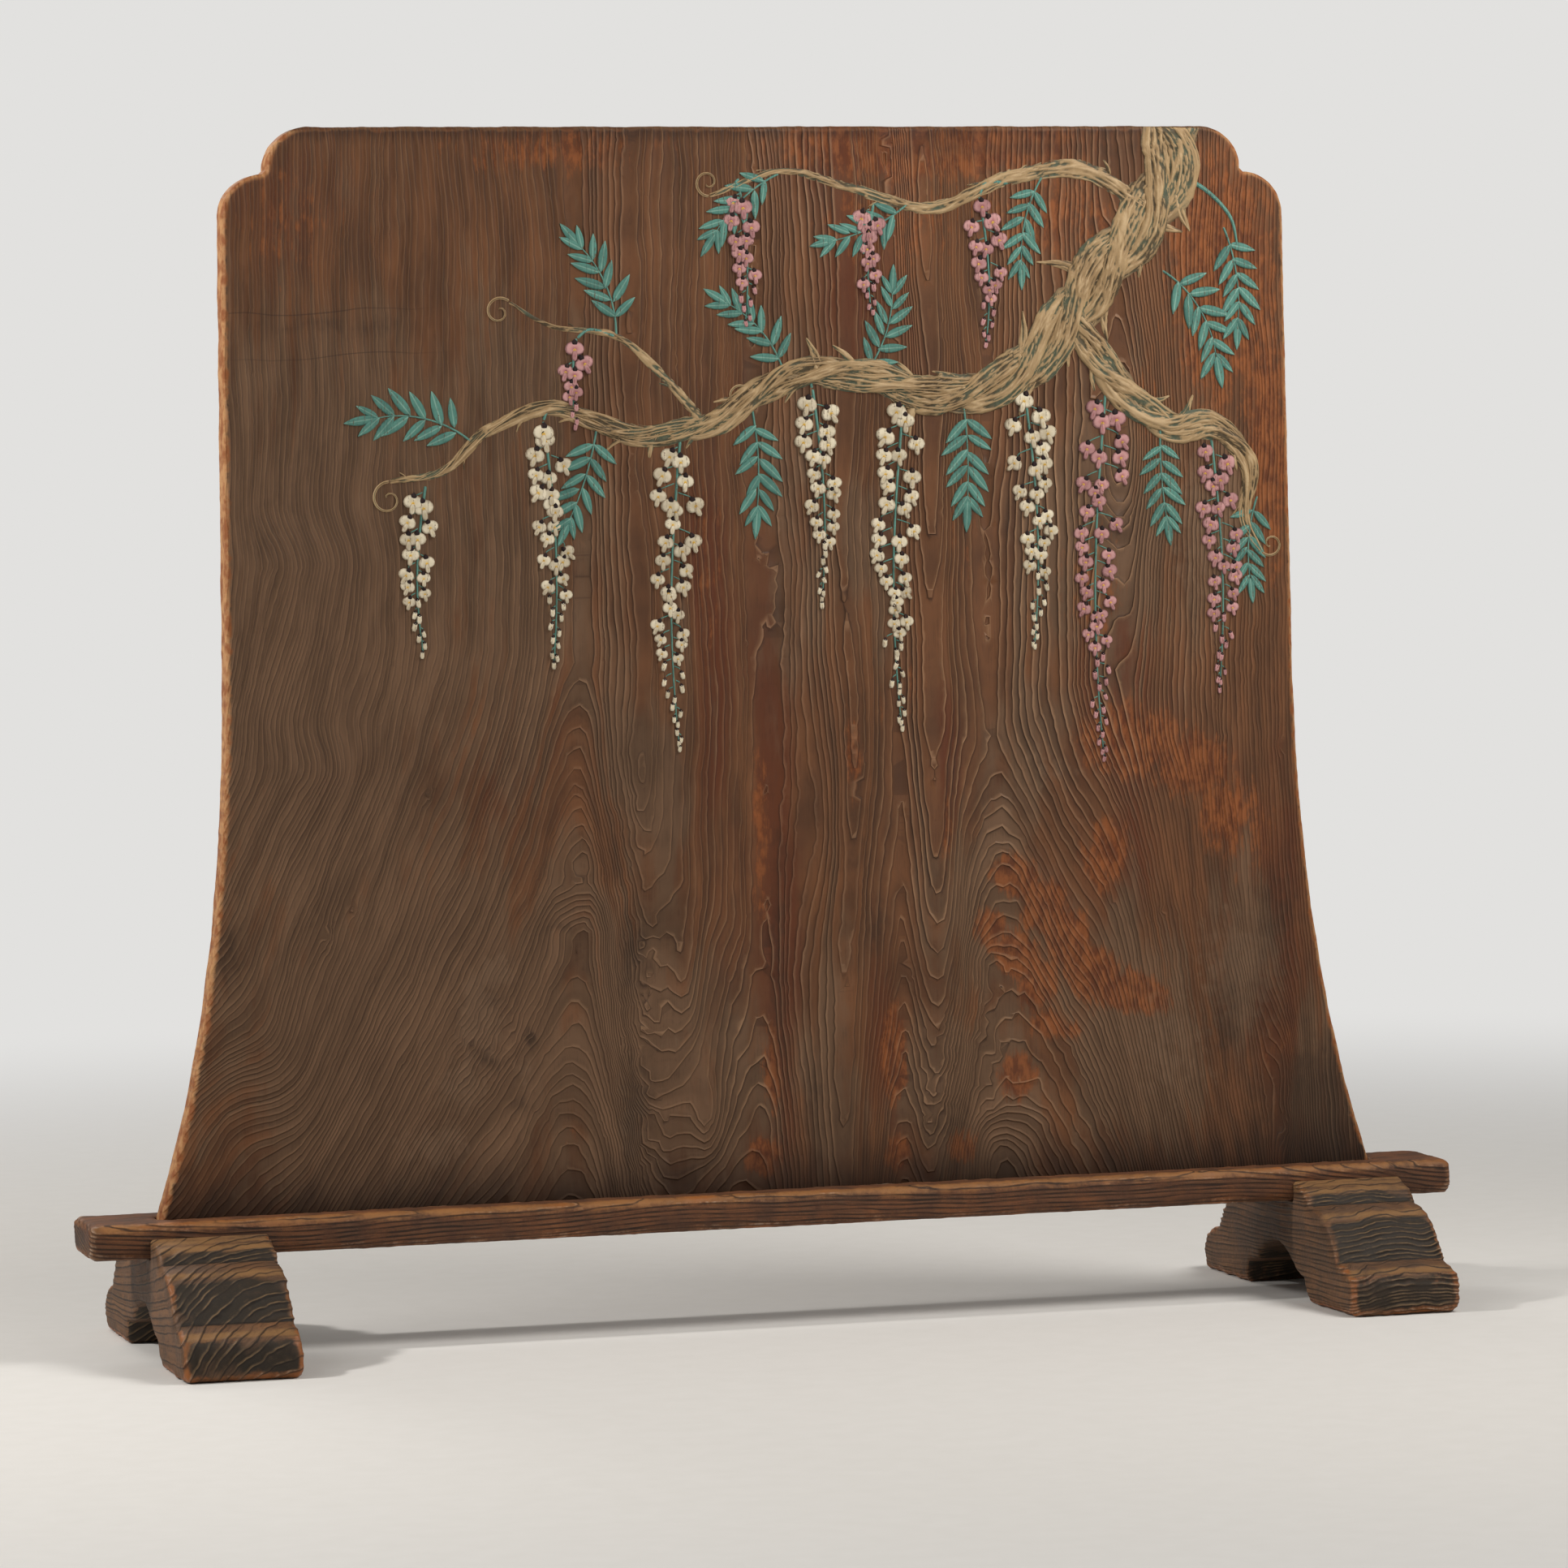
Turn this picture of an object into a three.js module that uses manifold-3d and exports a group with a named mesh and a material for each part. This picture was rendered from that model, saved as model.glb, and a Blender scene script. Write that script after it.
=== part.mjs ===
// A freestanding screen: one wide carved board that stands in a grooved rail on two sled feet.
// Millimetres, +Z up, +X to the right and -Y to the front. The origin is on the floor, at the
// middle of the footprint.
import * as THREE from 'three';
import { mergeVertices } from 'three/addons/utils/BufferGeometryUtils.js';
import Module from 'manifold-3d';

// Fits
const SLIDING_FIT = 0.4; // play round the parts of the board that lift out of the rail
const HOUSING_FIT = 0.3; // play between the rail and the cheeks of a foot
const PEG_FIT = 0.3; // play round a peg
const MORTISE_DEPTH_FIT = 1.5; // space left under a tenon or a peg

// Board
const BOARD_THICKNESS = 35;
const BOARD_TOP = 1355; // height of the top edge above the floor
const BASE_HALF_WIDTH = 714; // half the width where the board meets the rail
const FLARE = 87; // how much wider each side is at the rail than at the waist
const WAIST_HALF_WIDTH = BASE_HALF_WIDTH - FLARE;
const WAIST_HEIGHT = 800;
const TOP_CORNER_RADIUS = 48;
const NOTCH_STEP = 4; // small flat between the two rounded corners
const SHOULDER_RADIUS = 47;
const SHOULDER_LEAN = 5; // how much narrower each side is at the shoulder than at the waist
const TOP_HALF_WIDTH = WAIST_HALF_WIDTH - SHOULDER_LEAN - SHOULDER_RADIUS - NOTCH_STEP;
const BASE_LEAN = 64; // how far the flare pulls in over its lowest stretch
const BASE_LEAN_HEIGHT = 192;
const WAIST_EASE_HEIGHT = 240; // length of the stretch that eases the flare into the waist
const BOARD_EDGE_ROUND = 4;

// Tenons under the board, one over each foot
const TENON_WIDTH = 56;
const TENON_THICKNESS = 22;
const TENON_IN_FOOT = 30; // how deep a tenon stands in its foot

// Rail
const RAIL_BEYOND_BOARD = 86; // at each end
const RAIL_LENGTH = 2 * (BASE_HALF_WIDTH + RAIL_BEYOND_BOARD);
const RAIL_DEPTH = 119;
const RAIL_HEIGHT = 40;
const RAIL_CORNER_RADIUS = 10;
const RAIL_END_ROUND = RAIL_CORNER_RADIUS - 2;
const GROOVE_DEPTH = 12; // how deep the board stands in the rail

// Feet
const RAIL_OVERHANG = 132; // from the middle of a foot to the end of the rail
const FOOT_SPACING = RAIL_LENGTH - 2 * RAIL_OVERHANG;
const FOOT_WIDTH = 133;
const FOOT_EDGE_ROUND = 5;
const SEAT_HEIGHT = 113; // height of the seat that carries the rail
const CHEEK_HEIGHT = 137; // height of the cheeks before and behind the rail
const TOE = { out: 245, up: 24 };
const LOWER_LEDGE = { out: TOE.out - 13, up: 47 };
const LOWER_CREASE = { out: LOWER_LEDGE.out - 34, up: 56 };
const UPPER_LEDGE = { out: LOWER_CREASE.out - 48, up: 105 };
const UPPER_CREASE = { out: UPPER_LEDGE.out - 38, up: 112 };
const CHEEK_EDGE = { out: UPPER_CREASE.out - 18, up: 129 }; // where the top of a cheek is cut down
const TOE_CORNER_RADIUS = 8;
const HEEL = { out: 100, up: 0 }; // inner end of the bearing face
const ARCH_STEP = { out: 90, up: 26 };
const ARCH_CUSP = { out: 62, up: 32 };
const ARCH_TOP = 60;
const FACET_CROWN = 7; // how far the carved facets of a toe bulge

// Pegs that hold the rail down in each foot
const PEG_DIAMETER = 14;
const PEG_IN_RAIL = 22;
const PEG_IN_FOOT = 30;
const PEG_SPACING = 76; // between the two pegs of a foot, front to back
const PEG_SIDES = 24;

const CURVE_STEPS = 10;
const ROUND_STEPS = 3;
const CUT_THROUGH = 5; // how far a cutter runs past the face it opens

const RAIL_TOP = SEAT_HEIGHT + RAIL_HEIGHT;
const GROOVE_FLOOR = RAIL_TOP - GROOVE_DEPTH;

const wasm = await Module();
wasm.setup();

// Solids and booleans

function toSolid(geometry) {
  const bare = geometry.clone();
  bare.deleteAttribute('normal');
  bare.deleteAttribute('uv');
  const merged = mergeVertices(bare, 1e-3);
  const mesh = new wasm.Mesh({
    numProp: 3,
    vertProperties: new Float32Array(merged.attributes.position.array),
    triVerts: new Uint32Array(merged.index.array),
  });
  return new wasm.Manifold(mesh);
}

function toGeometry(solid) {
  const mesh = solid.getMesh();
  const geometry = new THREE.BufferGeometry();
  geometry.setAttribute('position', new THREE.BufferAttribute(mesh.vertProperties, 3));
  geometry.setIndex(new THREE.BufferAttribute(mesh.triVerts, 1));
  geometry.computeVertexNormals();
  return geometry;
}

function block(sizeX, sizeY, low, high, x = 0, y = 0) {
  const geometry = new THREE.BoxGeometry(sizeX, sizeY, high - low);
  geometry.translate(x, y, (low + high) / 2);
  return toSolid(geometry);
}

function roundBar(diameter, low, high, x, y) {
  const geometry = new THREE.CylinderGeometry(diameter / 2, diameter / 2, high - low, PEG_SIDES);
  geometry.rotateX(Math.PI / 2);
  geometry.translate(x, y, (low + high) / 2);
  return geometry;
}

function sawnFrom(shape, thickness, edgeRound) {
  const geometry = new THREE.ExtrudeGeometry(shape, {
    depth: thickness - 2 * edgeRound,
    curveSegments: CURVE_STEPS,
    bevelThickness: edgeRound,
    bevelSize: edgeRound,
    bevelOffset: -edgeRound,
    bevelSegments: ROUND_STEPS,
  });
  return geometry.translate(0, 0, edgeRound - thickness / 2);
}

// An outline drawn across and up becomes a plate that faces the front.
function facingFront(geometry) {
  return geometry.rotateX(Math.PI / 2);
}

// An outline drawn out and up becomes a length that runs along X.
function runningAlongX(geometry) {
  const turn = new THREE.Matrix4().makeBasis(
    new THREE.Vector3(0, 1, 0),
    new THREE.Vector3(0, 0, 1),
    new THREE.Vector3(1, 0, 0),
  );
  return geometry.applyMatrix4(turn);
}

// Closes one half of a symmetrical outline, given from its middle at the top to its middle below.
function mirrored(half) {
  const other = half
    .filter((point) => point.x > 0)
    .map((point) => new THREE.Vector2(-point.x, point.y))
    .reverse();
  return new THREE.Shape([...half, ...other]);
}

// Board

function boardOutline() {
  const notchHeight = BOARD_TOP - TOP_CORNER_RADIUS;
  const shoulderCentre = {
    x: TOP_HALF_WIDTH + NOTCH_STEP,
    y: notchHeight - NOTCH_STEP - SHOULDER_RADIUS,
  };
  const half = new THREE.Path();
  half.moveTo(0, BOARD_TOP);
  half.lineTo(TOP_HALF_WIDTH - TOP_CORNER_RADIUS, BOARD_TOP);
  half.absarc(
    TOP_HALF_WIDTH - TOP_CORNER_RADIUS,
    notchHeight,
    TOP_CORNER_RADIUS,
    Math.PI / 2,
    0,
    true,
  );
  half.lineTo(shoulderCentre.x, shoulderCentre.y + SHOULDER_RADIUS);
  half.absarc(shoulderCentre.x, shoulderCentre.y, SHOULDER_RADIUS, Math.PI / 2, 0, true);
  half.lineTo(WAIST_HALF_WIDTH, WAIST_HEIGHT);
  half.bezierCurveTo(
    WAIST_HALF_WIDTH,
    WAIST_HEIGHT - WAIST_EASE_HEIGHT,
    BASE_HALF_WIDTH - BASE_LEAN,
    RAIL_TOP + BASE_LEAN_HEIGHT,
    BASE_HALF_WIDTH,
    RAIL_TOP,
  );
  half.lineTo(BASE_HALF_WIDTH, GROOVE_FLOOR);
  return mirrored([...half.getPoints(CURVE_STEPS), new THREE.Vector2(0, GROOVE_FLOOR)]);
}

function carvedBoard() {
  const plate = facingFront(sawnFrom(boardOutline(), BOARD_THICKNESS, BOARD_EDGE_ROUND));
  let board = toSolid(plate);
  for (const side of [-1, 1]) {
    const tenon = block(
      TENON_WIDTH,
      TENON_THICKNESS,
      SEAT_HEIGHT - TENON_IN_FOOT,
      GROOVE_FLOOR + BOARD_EDGE_ROUND + CUT_THROUGH,
      (side * FOOT_SPACING) / 2,
    );
    board = board.add(tenon);
  }
  return toGeometry(board);
}

// Cuts shared by the rail and the feet

function tenonMortise(x, low, high) {
  return block(TENON_WIDTH + 2 * SLIDING_FIT, TENON_THICKNESS + 2 * SLIDING_FIT, low, high, x);
}

function pegHole(x, y, low, high) {
  return toSolid(roundBar(PEG_DIAMETER + 2 * PEG_FIT, low, high, x, y));
}

// Rail

function railSection() {
  const section = new THREE.Shape();
  const halfDepth = RAIL_DEPTH / 2;
  const radius = RAIL_CORNER_RADIUS;
  section.moveTo(-halfDepth + radius, SEAT_HEIGHT);
  section.lineTo(halfDepth - radius, SEAT_HEIGHT);
  section.absarc(halfDepth - radius, SEAT_HEIGHT + radius, radius, -Math.PI / 2, 0, false);
  section.absarc(halfDepth - radius, RAIL_TOP - radius, radius, 0, Math.PI / 2, false);
  section.absarc(-halfDepth + radius, RAIL_TOP - radius, radius, Math.PI / 2, Math.PI, false);
  section.absarc(
    -halfDepth + radius,
    SEAT_HEIGHT + radius,
    radius,
    Math.PI,
    Math.PI * 1.5,
    false,
  );
  return section;
}

function groovedRail() {
  let rail = toSolid(runningAlongX(sawnFrom(railSection(), RAIL_LENGTH, RAIL_END_ROUND)));
  const groove = block(
    2 * (BASE_HALF_WIDTH + SLIDING_FIT),
    BOARD_THICKNESS + 2 * SLIDING_FIT,
    GROOVE_FLOOR,
    RAIL_TOP + CUT_THROUGH,
  );
  rail = rail.subtract(groove);
  for (const side of [-1, 1]) {
    const x = (side * FOOT_SPACING) / 2;
    rail = rail.subtract(tenonMortise(x, SEAT_HEIGHT - CUT_THROUGH, RAIL_TOP + CUT_THROUGH));
    for (const place of [-1, 1]) {
      const top = SEAT_HEIGHT + PEG_IN_RAIL + MORTISE_DEPTH_FIT;
      const y = (place * PEG_SPACING) / 2;
      rail = rail.subtract(pegHole(x, y, SEAT_HEIGHT - CUT_THROUGH, top));
    }
  }
  return toGeometry(rail);
}

// Feet

function footOutline() {
  const half = new THREE.Path();
  half.moveTo(0, CHEEK_HEIGHT);
  half.lineTo(RAIL_DEPTH / 2, CHEEK_HEIGHT);
  half.lineTo(CHEEK_EDGE.out, CHEEK_EDGE.up);
  half.quadraticCurveTo(
    (CHEEK_EDGE.out + UPPER_CREASE.out + FACET_CROWN) / 2,
    (CHEEK_EDGE.up + UPPER_CREASE.up + FACET_CROWN) / 2,
    UPPER_CREASE.out,
    UPPER_CREASE.up,
  );
  half.quadraticCurveTo(
    UPPER_LEDGE.out - 2 * FACET_CROWN,
    UPPER_CREASE.up,
    UPPER_LEDGE.out,
    UPPER_LEDGE.up,
  );
  half.quadraticCurveTo(
    (UPPER_LEDGE.out + LOWER_CREASE.out) / 2 + FACET_CROWN,
    (UPPER_LEDGE.up + LOWER_CREASE.up) / 2 + FACET_CROWN,
    LOWER_CREASE.out,
    LOWER_CREASE.up,
  );
  half.quadraticCurveTo(
    LOWER_LEDGE.out - 2 * FACET_CROWN,
    LOWER_CREASE.up,
    LOWER_LEDGE.out,
    LOWER_LEDGE.up,
  );
  half.quadraticCurveTo(TOE.out, LOWER_LEDGE.up, TOE.out, TOE.up);
  half.lineTo(TOE.out, TOE_CORNER_RADIUS);
  half.absarc(
    TOE.out - TOE_CORNER_RADIUS,
    TOE_CORNER_RADIUS,
    TOE_CORNER_RADIUS,
    0,
    -Math.PI / 2,
    true,
  );
  half.lineTo(HEEL.out, HEEL.up);
  half.lineTo(ARCH_STEP.out, ARCH_STEP.up);
  half.lineTo(ARCH_CUSP.out, ARCH_CUSP.up);
  half.quadraticCurveTo(ARCH_CUSP.out / 2, ARCH_TOP, 0, ARCH_TOP);
  return mirrored(half.getPoints(CURVE_STEPS / 2));
}

function sledFoot(x) {
  const body = runningAlongX(sawnFrom(footOutline(), FOOT_WIDTH, FOOT_EDGE_ROUND));
  let foot = toSolid(body.translate(x, 0, 0));
  const housing = block(
    FOOT_WIDTH + 2 * CUT_THROUGH,
    RAIL_DEPTH + 2 * HOUSING_FIT,
    SEAT_HEIGHT,
    CHEEK_HEIGHT + CUT_THROUGH,
    x,
  );
  foot = foot.subtract(housing);
  const tenonFloor = SEAT_HEIGHT - TENON_IN_FOOT - MORTISE_DEPTH_FIT;
  foot = foot.subtract(tenonMortise(x, tenonFloor, SEAT_HEIGHT + CUT_THROUGH));
  for (const place of [-1, 1]) {
    const low = SEAT_HEIGHT - PEG_IN_FOOT - MORTISE_DEPTH_FIT;
    const y = (place * PEG_SPACING) / 2;
    foot = foot.subtract(pegHole(x, y, low, SEAT_HEIGHT + CUT_THROUGH));
  }
  return toGeometry(foot);
}

function peg(x, y) {
  const low = SEAT_HEIGHT - PEG_IN_FOOT;
  return toGeometry(toSolid(roundBar(PEG_DIAMETER, low, SEAT_HEIGHT + PEG_IN_RAIL, x, y)));
}

// Materials

const boardWood = new THREE.MeshStandardMaterial({ color: 0x5f4231, roughness: 0.6 });
const railWood = new THREE.MeshStandardMaterial({ color: 0x5a3420, roughness: 0.55 });
const footWood = new THREE.MeshStandardMaterial({ color: 0x4a3a2a, roughness: 0.75 });
const pegWood = new THREE.MeshStandardMaterial({ color: 0x8a6a45, roughness: 0.7 });

// Assembly

const screen = new THREE.Group();

function place(name, geometry, material) {
  const mesh = new THREE.Mesh(geometry, material);
  mesh.name = name;
  screen.add(mesh);
}

place('board', carvedBoard(), boardWood);
place('rail', groovedRail(), railWood);
for (const [sideName, side] of [['left', -1], ['right', 1]]) {
  const x = (side * FOOT_SPACING) / 2;
  place(`${sideName}_foot`, sledFoot(x), footWood);
  for (const [placeName, where] of [['front', -1], ['rear', 1]]) {
    place(`${sideName}_${placeName}_peg`, peg(x, (where * PEG_SPACING) / 2), pegWood);
  }
}

export default screen;
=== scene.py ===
import math
from functools import partial

import bmesh
import bpy
import numpy as np
from mathutils import Matrix, Vector
from mathutils.geometry import delaunay_2d_cdt
from mathutils.kdtree import KDTree


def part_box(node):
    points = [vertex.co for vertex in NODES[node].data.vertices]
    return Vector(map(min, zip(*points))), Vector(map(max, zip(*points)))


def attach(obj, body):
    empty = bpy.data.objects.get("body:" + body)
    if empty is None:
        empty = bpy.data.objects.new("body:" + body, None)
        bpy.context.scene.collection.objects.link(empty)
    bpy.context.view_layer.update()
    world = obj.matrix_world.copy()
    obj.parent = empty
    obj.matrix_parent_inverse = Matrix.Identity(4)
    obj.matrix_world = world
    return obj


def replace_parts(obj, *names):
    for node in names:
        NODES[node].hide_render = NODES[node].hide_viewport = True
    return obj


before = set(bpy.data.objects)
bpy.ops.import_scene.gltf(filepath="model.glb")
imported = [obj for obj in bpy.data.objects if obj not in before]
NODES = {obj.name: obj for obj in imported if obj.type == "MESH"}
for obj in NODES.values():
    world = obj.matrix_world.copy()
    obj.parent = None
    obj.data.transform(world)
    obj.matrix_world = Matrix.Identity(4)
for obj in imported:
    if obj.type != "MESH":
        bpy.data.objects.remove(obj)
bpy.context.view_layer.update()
MM = 0.001

# Camera, solved from the outline of the real screen
CAMERA_PLACE = (-1.94003, -6.78848, 0.95225)
CAMERA_YAW = math.radians(16.07)
CAMERA_PITCH = math.radians(2.762)
CAMERA_ROLL = math.radians(-0.997)
CAMERA_LENS = 142.9987

# Light: place in metres, width in metres and power in watts of each lamp
LAMPS = (
    ("key", (1.5, -1.2, 2.5), 1.3, 50),
    ("left_top", (-2.5, -1.1, 2.8), 1.3, 14),
    ("sheen", (2.1, -4.8, 1.1), 1.6, 20),
    ("rim", (-3.0, -0.1, 2.3), 0.3, 64),
    ("back", (-1.0, 3.4, 3.2), 2.0, 40),
)
LAMP_COLOUR = (1.0, 0.96, 0.91)
WORLD_LIGHT = 0.2
BACKDROP = "#e2e1df"

# Board, in mm
BOARD_EDGE_ROUND = 5.0
RIM_STEP = 3.2  # between points round the edge
LINE_STEP = 8.0  # between points along a ridge
FINE_STEP = 0.8  # between samples that look for a ridge
BACK_STEP = 12.0
RIDGE_HEIGHT = 0.7
RIDGE_STEEP_SIDE = 1.5
RIDGE_LONGEST_SLOPE = 8.0
FINEST_MODELLED_GAP = 4.4  # closer ridges are left to the material
GROOVE_DEPTH = 12.0

# Rail and feet, in mm
FOOT_VOXEL = 2.3
RAIL_VOXEL = 2.8

# Where the feet and the rail are handled most: the lips of their mouldings, as distance out and height. The last two
# lie on the feet's top by the rail, where the handled tan also serves as painted light from above.
FOOT_LIPS_AND_LIT_TOP = ((229, 50), (150, 107), (96, 131), (78, 134), (64, 134))
RAIL_LIPS = ((57, 152),)
LIP_REACH = 9.0

# Painted relief, in mm on the board's face: places across and up, with the width there
VINE_TURN = 250.0  # length in which a strand goes once round the others
VINE_RELIEF = 6.5
VINE_SPUR_SPACING = 70.0
CARVING_STEP = 1.4
VINES = (
    (
        (486, 1353, 66), (484, 1310, 64), (452, 1246, 62), (396, 1184, 60), (350, 1128, 56), (292, 1070, 50),
        (206, 1048, 42), (112, 1074, 36), (24, 1072, 32), (-66, 1022, 28), (-160, 1010, 23), (-246, 1040, 18),
        (-320, 1020, 14), (-380, 972, 10), (-440, 962, 5),
    ),
    ((366, 1136, 32), (412, 1064, 37), (474, 1014, 34), (532, 1010, 29), (574, 968, 23), (570, 905, 14), (590, 862, 5)),
    ((452, 1262, 20), (380, 1304, 22), (290, 1296, 18), (196, 1262, 15), (104, 1284, 12), (20, 1304, 9), (-66, 1276, 5)),
    ((-74, 1020, 14), (-120, 1072, 12), (-176, 1120, 9), (-250, 1132, 6), (-300, 1160, 4)),
)
STUBS = (
    (382, 1186, 2.8, 64), (300, 1086, 1.4, 60), (176, 1050, -1.9, 50), (486, 1010, 0.9, 44), (-130, 1016, -2.0, 36),
    (452, 1252, -0.5, 52), (60, 1076, 1.8, 44),
)
LEAF_PAIRS = 6
TENDRILS = (
    (-438, 962, 2.9, 20), (-298, 1160, 2.2, 17), (-64, 1276, 3.4, -16), (588, 866, -1.2, 15), (250, 1052, 1.8, -17),
    (-20, 1050, 1.4, 15),
)
# Racemes: colour, place across, top, length, width and how far it sways
RACEMES = (
    ("white", -398, 958, 190, 54, -12), ("white", -262, 1028, 280, 66, 12), ("white", -104, 1004, 350, 76, -14),
    ("white", 52, 1060, 250, 64, 12), ("white", 160, 1046, 380, 80, -16), ("white", 304, 1056, 300, 70, 14),
    ("pink", 402, 1050, 420, 82, -16), ("pink", 530, 996, 290, 68, 12), ("pink", 254, 1276, 170, 56, 10),
    ("pink", 128, 1270, 130, 46, -8), ("pink", -30, 1288, 160, 50, 8), ("pink", -222, 1120, 100, 38, -6),
)
TWIGS = (
    ((-246, 1040, 5), (-258, 1036, 4), (-262, 1026, 4)), ((52, 1074, 5), (50, 1066, 4), (52, 1058, 4)),
    ((290, 1290, 5), (262, 1290, 5), (254, 1274, 4)), ((-28, 1296, 4), (-34, 1292, 4), (-30, 1286, 4)),
    ((478, 1300, 7), (520, 1286, 6), (556, 1252, 5), (566, 1214, 3)), ((-176, 1120, 5), (-206, 1128, 4), (-222, 1118, 4)),
)
# Leaves: where each starts, its direction, length and how far it bends
LEAVES = (
    (-344, 1004, 2.5, 118, 0.9), (-200, 1022, -1.75, 112, -0.3), (-176, 1120, 1.6, 112, 0.8), (-20, 1040, -1.4, 116, -0.3),
    (20, 1074, 1.9, 108, 0.8), (112, 1072, 0.9, 104, 0.7), (230, 1046, -1.45, 118, -0.2), (548, 1240, -1.2, 112, -0.5),
    (472, 1190, -0.6, 124, -0.9), (330, 1298, -2.1, 104, 0.6), (170, 1268, 3.8, 100, -0.5),
    (18, 1302, 3.6, 104, 0.6), (468, 1010, -1.6, 106, 0.2), (586, 930, -1.9, 98, 0.5),
)

# The figure of the board. Each row is a place across, in mm from the middle: its ring number at
# mid height, the rings lost on the way down to the foot, the height where the loss begins, and
# how late it comes.
FIGURE = (
    (-760, 94, 66, 840, 1.5), (-640, 72, 58, 820, 1.5), (-560, 57, 50, 800, 1.4),
    (-470, 40, 47, 790, 1.35), (-380, 25, 45.5, 780, 1.25), (-300, 11.5, 38.5, 770, 1.15),
    (-260, 4, 33, 765, 1.1), (-238, 1.2, 30, 755, 1.05), (-222, 0, 29, 750, 1.05),
    (-206, 1.4, 27, 740, 1.1), (-178, 7, 23, 700, 1.2), (-158, 9, 20, 640, 1.3),
    (-146, 8.2, 18, 600, 1.2), (-112, 4, 13.5, 510, 1.15), (-90, 1.1, 12.5, 490, 1.1),
    (-50, -4, 9, 460, 1.0), (-26, -7, 5.5, 430, 1.0), (-8, -7.6, 4.2, 400, 1.0),
    (8, -6.5, 2.5, 400, 1.0), (40, -2, 0.5, 400, 1.0), (72, 2.4, 1, 500, 1.0),
    (88, 3.6, 3.5, 700, 1.5), (120, 0, 10, 720, 1.6), (142, -2.5, 13, 740, 1.7),
    (160, 0, 13, 740, 1.7), (176, 2.8, 13, 740, 1.6), (190, 3.8, 14, 740, 1.6), (206, 2.6, 17.5, 720, 1.5),
    (228, -1.6, 22, 680, 1.4), (250, -3.4, 24.4, 660, 1.35), (266, -4, 25.4, 660, 1.35),
    (290, -2.2, 27, 680, 1.3), (330, 3.6, 29, 700, 1.2), (400, 14, 30, 730, 1.1),
    (415, 16, 29, 730, 1.1), (434, 18.4, 27, 720, 1.1), (446, 20, 26, 700, 1.15),
    (490, 26.5, 21, 650, 1.2), (560, 39, 13, 600, 1.3), (600, 47, 10, 560, 1.3),
    (640, 56, 7, 560, 1.3), (760, 82, 7, 560, 1.3),
)
FIGURE_FOOT = 150.0
# Short flames and eyes: place across, height of the middle, half width, half length, rings deep
FLAMES = (
    (428, 1000, 40, 150, -10), (434, 800, 22, 130, -3), (420, 1180, 24, 90, -3), (612, 262, 22, 80, -6), (612, 195, 8, 20, -2.5),
    (50, 560, 26, 130, -3.2), (98, 640, 18, 150, 0.7), (112, 540, 14, 130, -0.7),
    (30, 820, 30, 140, -1.6), (75, 930, 22, 130, 1.2), (60, 1010, 18, 100, -1.2),
    (-10, 820, 18, 140, 1.2), (190, 760, 30, 160, -1.4), (225, 650, 24, 120, 1.2),
    (188, 1250, 26, 260, 3.5), (142, 1250, 22, 260, -2.5),
    (262, 1250, 34, 300, -3.5), (100, 1250, 24, 260, 2), (-20, 1250, 20, 260, -2), (-100, 400, 18, 60, 2.4), (-84, 235, 20, 50, 3.2), (-630, 250, 60, 70, -5), (-575, 330, 60, 90, 4),
    (-228, 505, 34, 18, 1.6), (-240, 455, 40, 22, -1.6), (-255, 235, 46, 60, -2.2),
    (240, 400, 26, 30, -1.8), (262, 250, 40, 50, 2.4), (255, 190, 46, 40, -2.6),
    (-20, 235, 14, 30, -0.8),
    # small eyes
    (-520, 455, 5, 16, 1.9), (-492, 486, 4, 6, 1.5), (-468, 488, 4, 7, 1.5), (392, 470, 4, 6, 1.7),
    (455, 452, 4, 6, 1.6), (-402, 612, 4, 9, 1.5), (612, 640, 4, 8, 1.6), (-240, 940, 4, 8, 1.5),
)
# Where the grain runs wild: place across, height of the middle, half width, half height, rings out of line
WILD_FIELDS = (
    (-168, 330, 32, 200, 1.5), (-345, 330, 70, 60, 0.8), (-300, 250, 50, 50, 0.4), (-180, 560, 22, 100, 0.9),
    (255, 310, 50, 80, 1.2), (262, 540, 30, 60, 0.5),
    (330, 230, 60, 90, 0.5), (195, 270, 36, 90, 0.8), (480, 420, 60, 60, 0.5), (560, 800, 60, 200, 0.35),
)
# Where the surface is polished: less rough, and with a stronger painted highlight on its crests
GLOSS_AND_HIGHLIGHT_FIELDS = (
    (330, 980, 170, 330), (400, 700, 170, 130, 0.9), (200, 600, 90, 210, 0.9), (20, 900, 160, 260, 0.55),
    (60, 1260, 200, 120, 0.75), (-120, 1180, 90, 120, 0.4), (-150, 860, 150, 180, 0.4), (290, 330, 80, 150, 0.5),
    (-40, 350, 90, 190, 0.6), (180, 300, 60, 120, 0.6), (-290, 690, 60, 90, 0.35),
)
# Where it was brushed less, so that the ridges are low
SMOOTH_FIELDS = (
    (520, 480, 90, 250), (610, 700, 60, 260, 0.7), (440, 480, 50, 110, 0.7), (570, 1050, 60, 260, 0.5),
    (640, 330, 60, 120, 0.7), (-150, 700, 30, 160, 0.4),
)
# Where the surface is grey with handling and dust: place across, height, half width, half height
GREY_FIELDS = (
    (-520, 760, 230, 460), (-430, 330, 280, 280), (-180, 300, 130, 200), (-60, 250, 60, 130, 0.8),
    (60, 300, 50, 190, 0.8), (250, 470, 90, 140, 0.9), (230, 240, 110, 130), (420, 300, 90, 170, 0.9),
    (30, 960, 50, 260, 0.7), (560, 420, 40, 200, 0.8), (-330, 1060, 150, 160, 0.7), (300, 640, 60, 120, 0.8),
    (120, 860, 40, 110, 0.7), (680, 260, 60, 120, 0.8), (-140, 640, 60, 160, 0.8), (545, 900, 50, 140, 0.8),
    (400, 880, 120, 200, 0.8), (-300, 800, 120, 240, 0.8),
)
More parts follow.
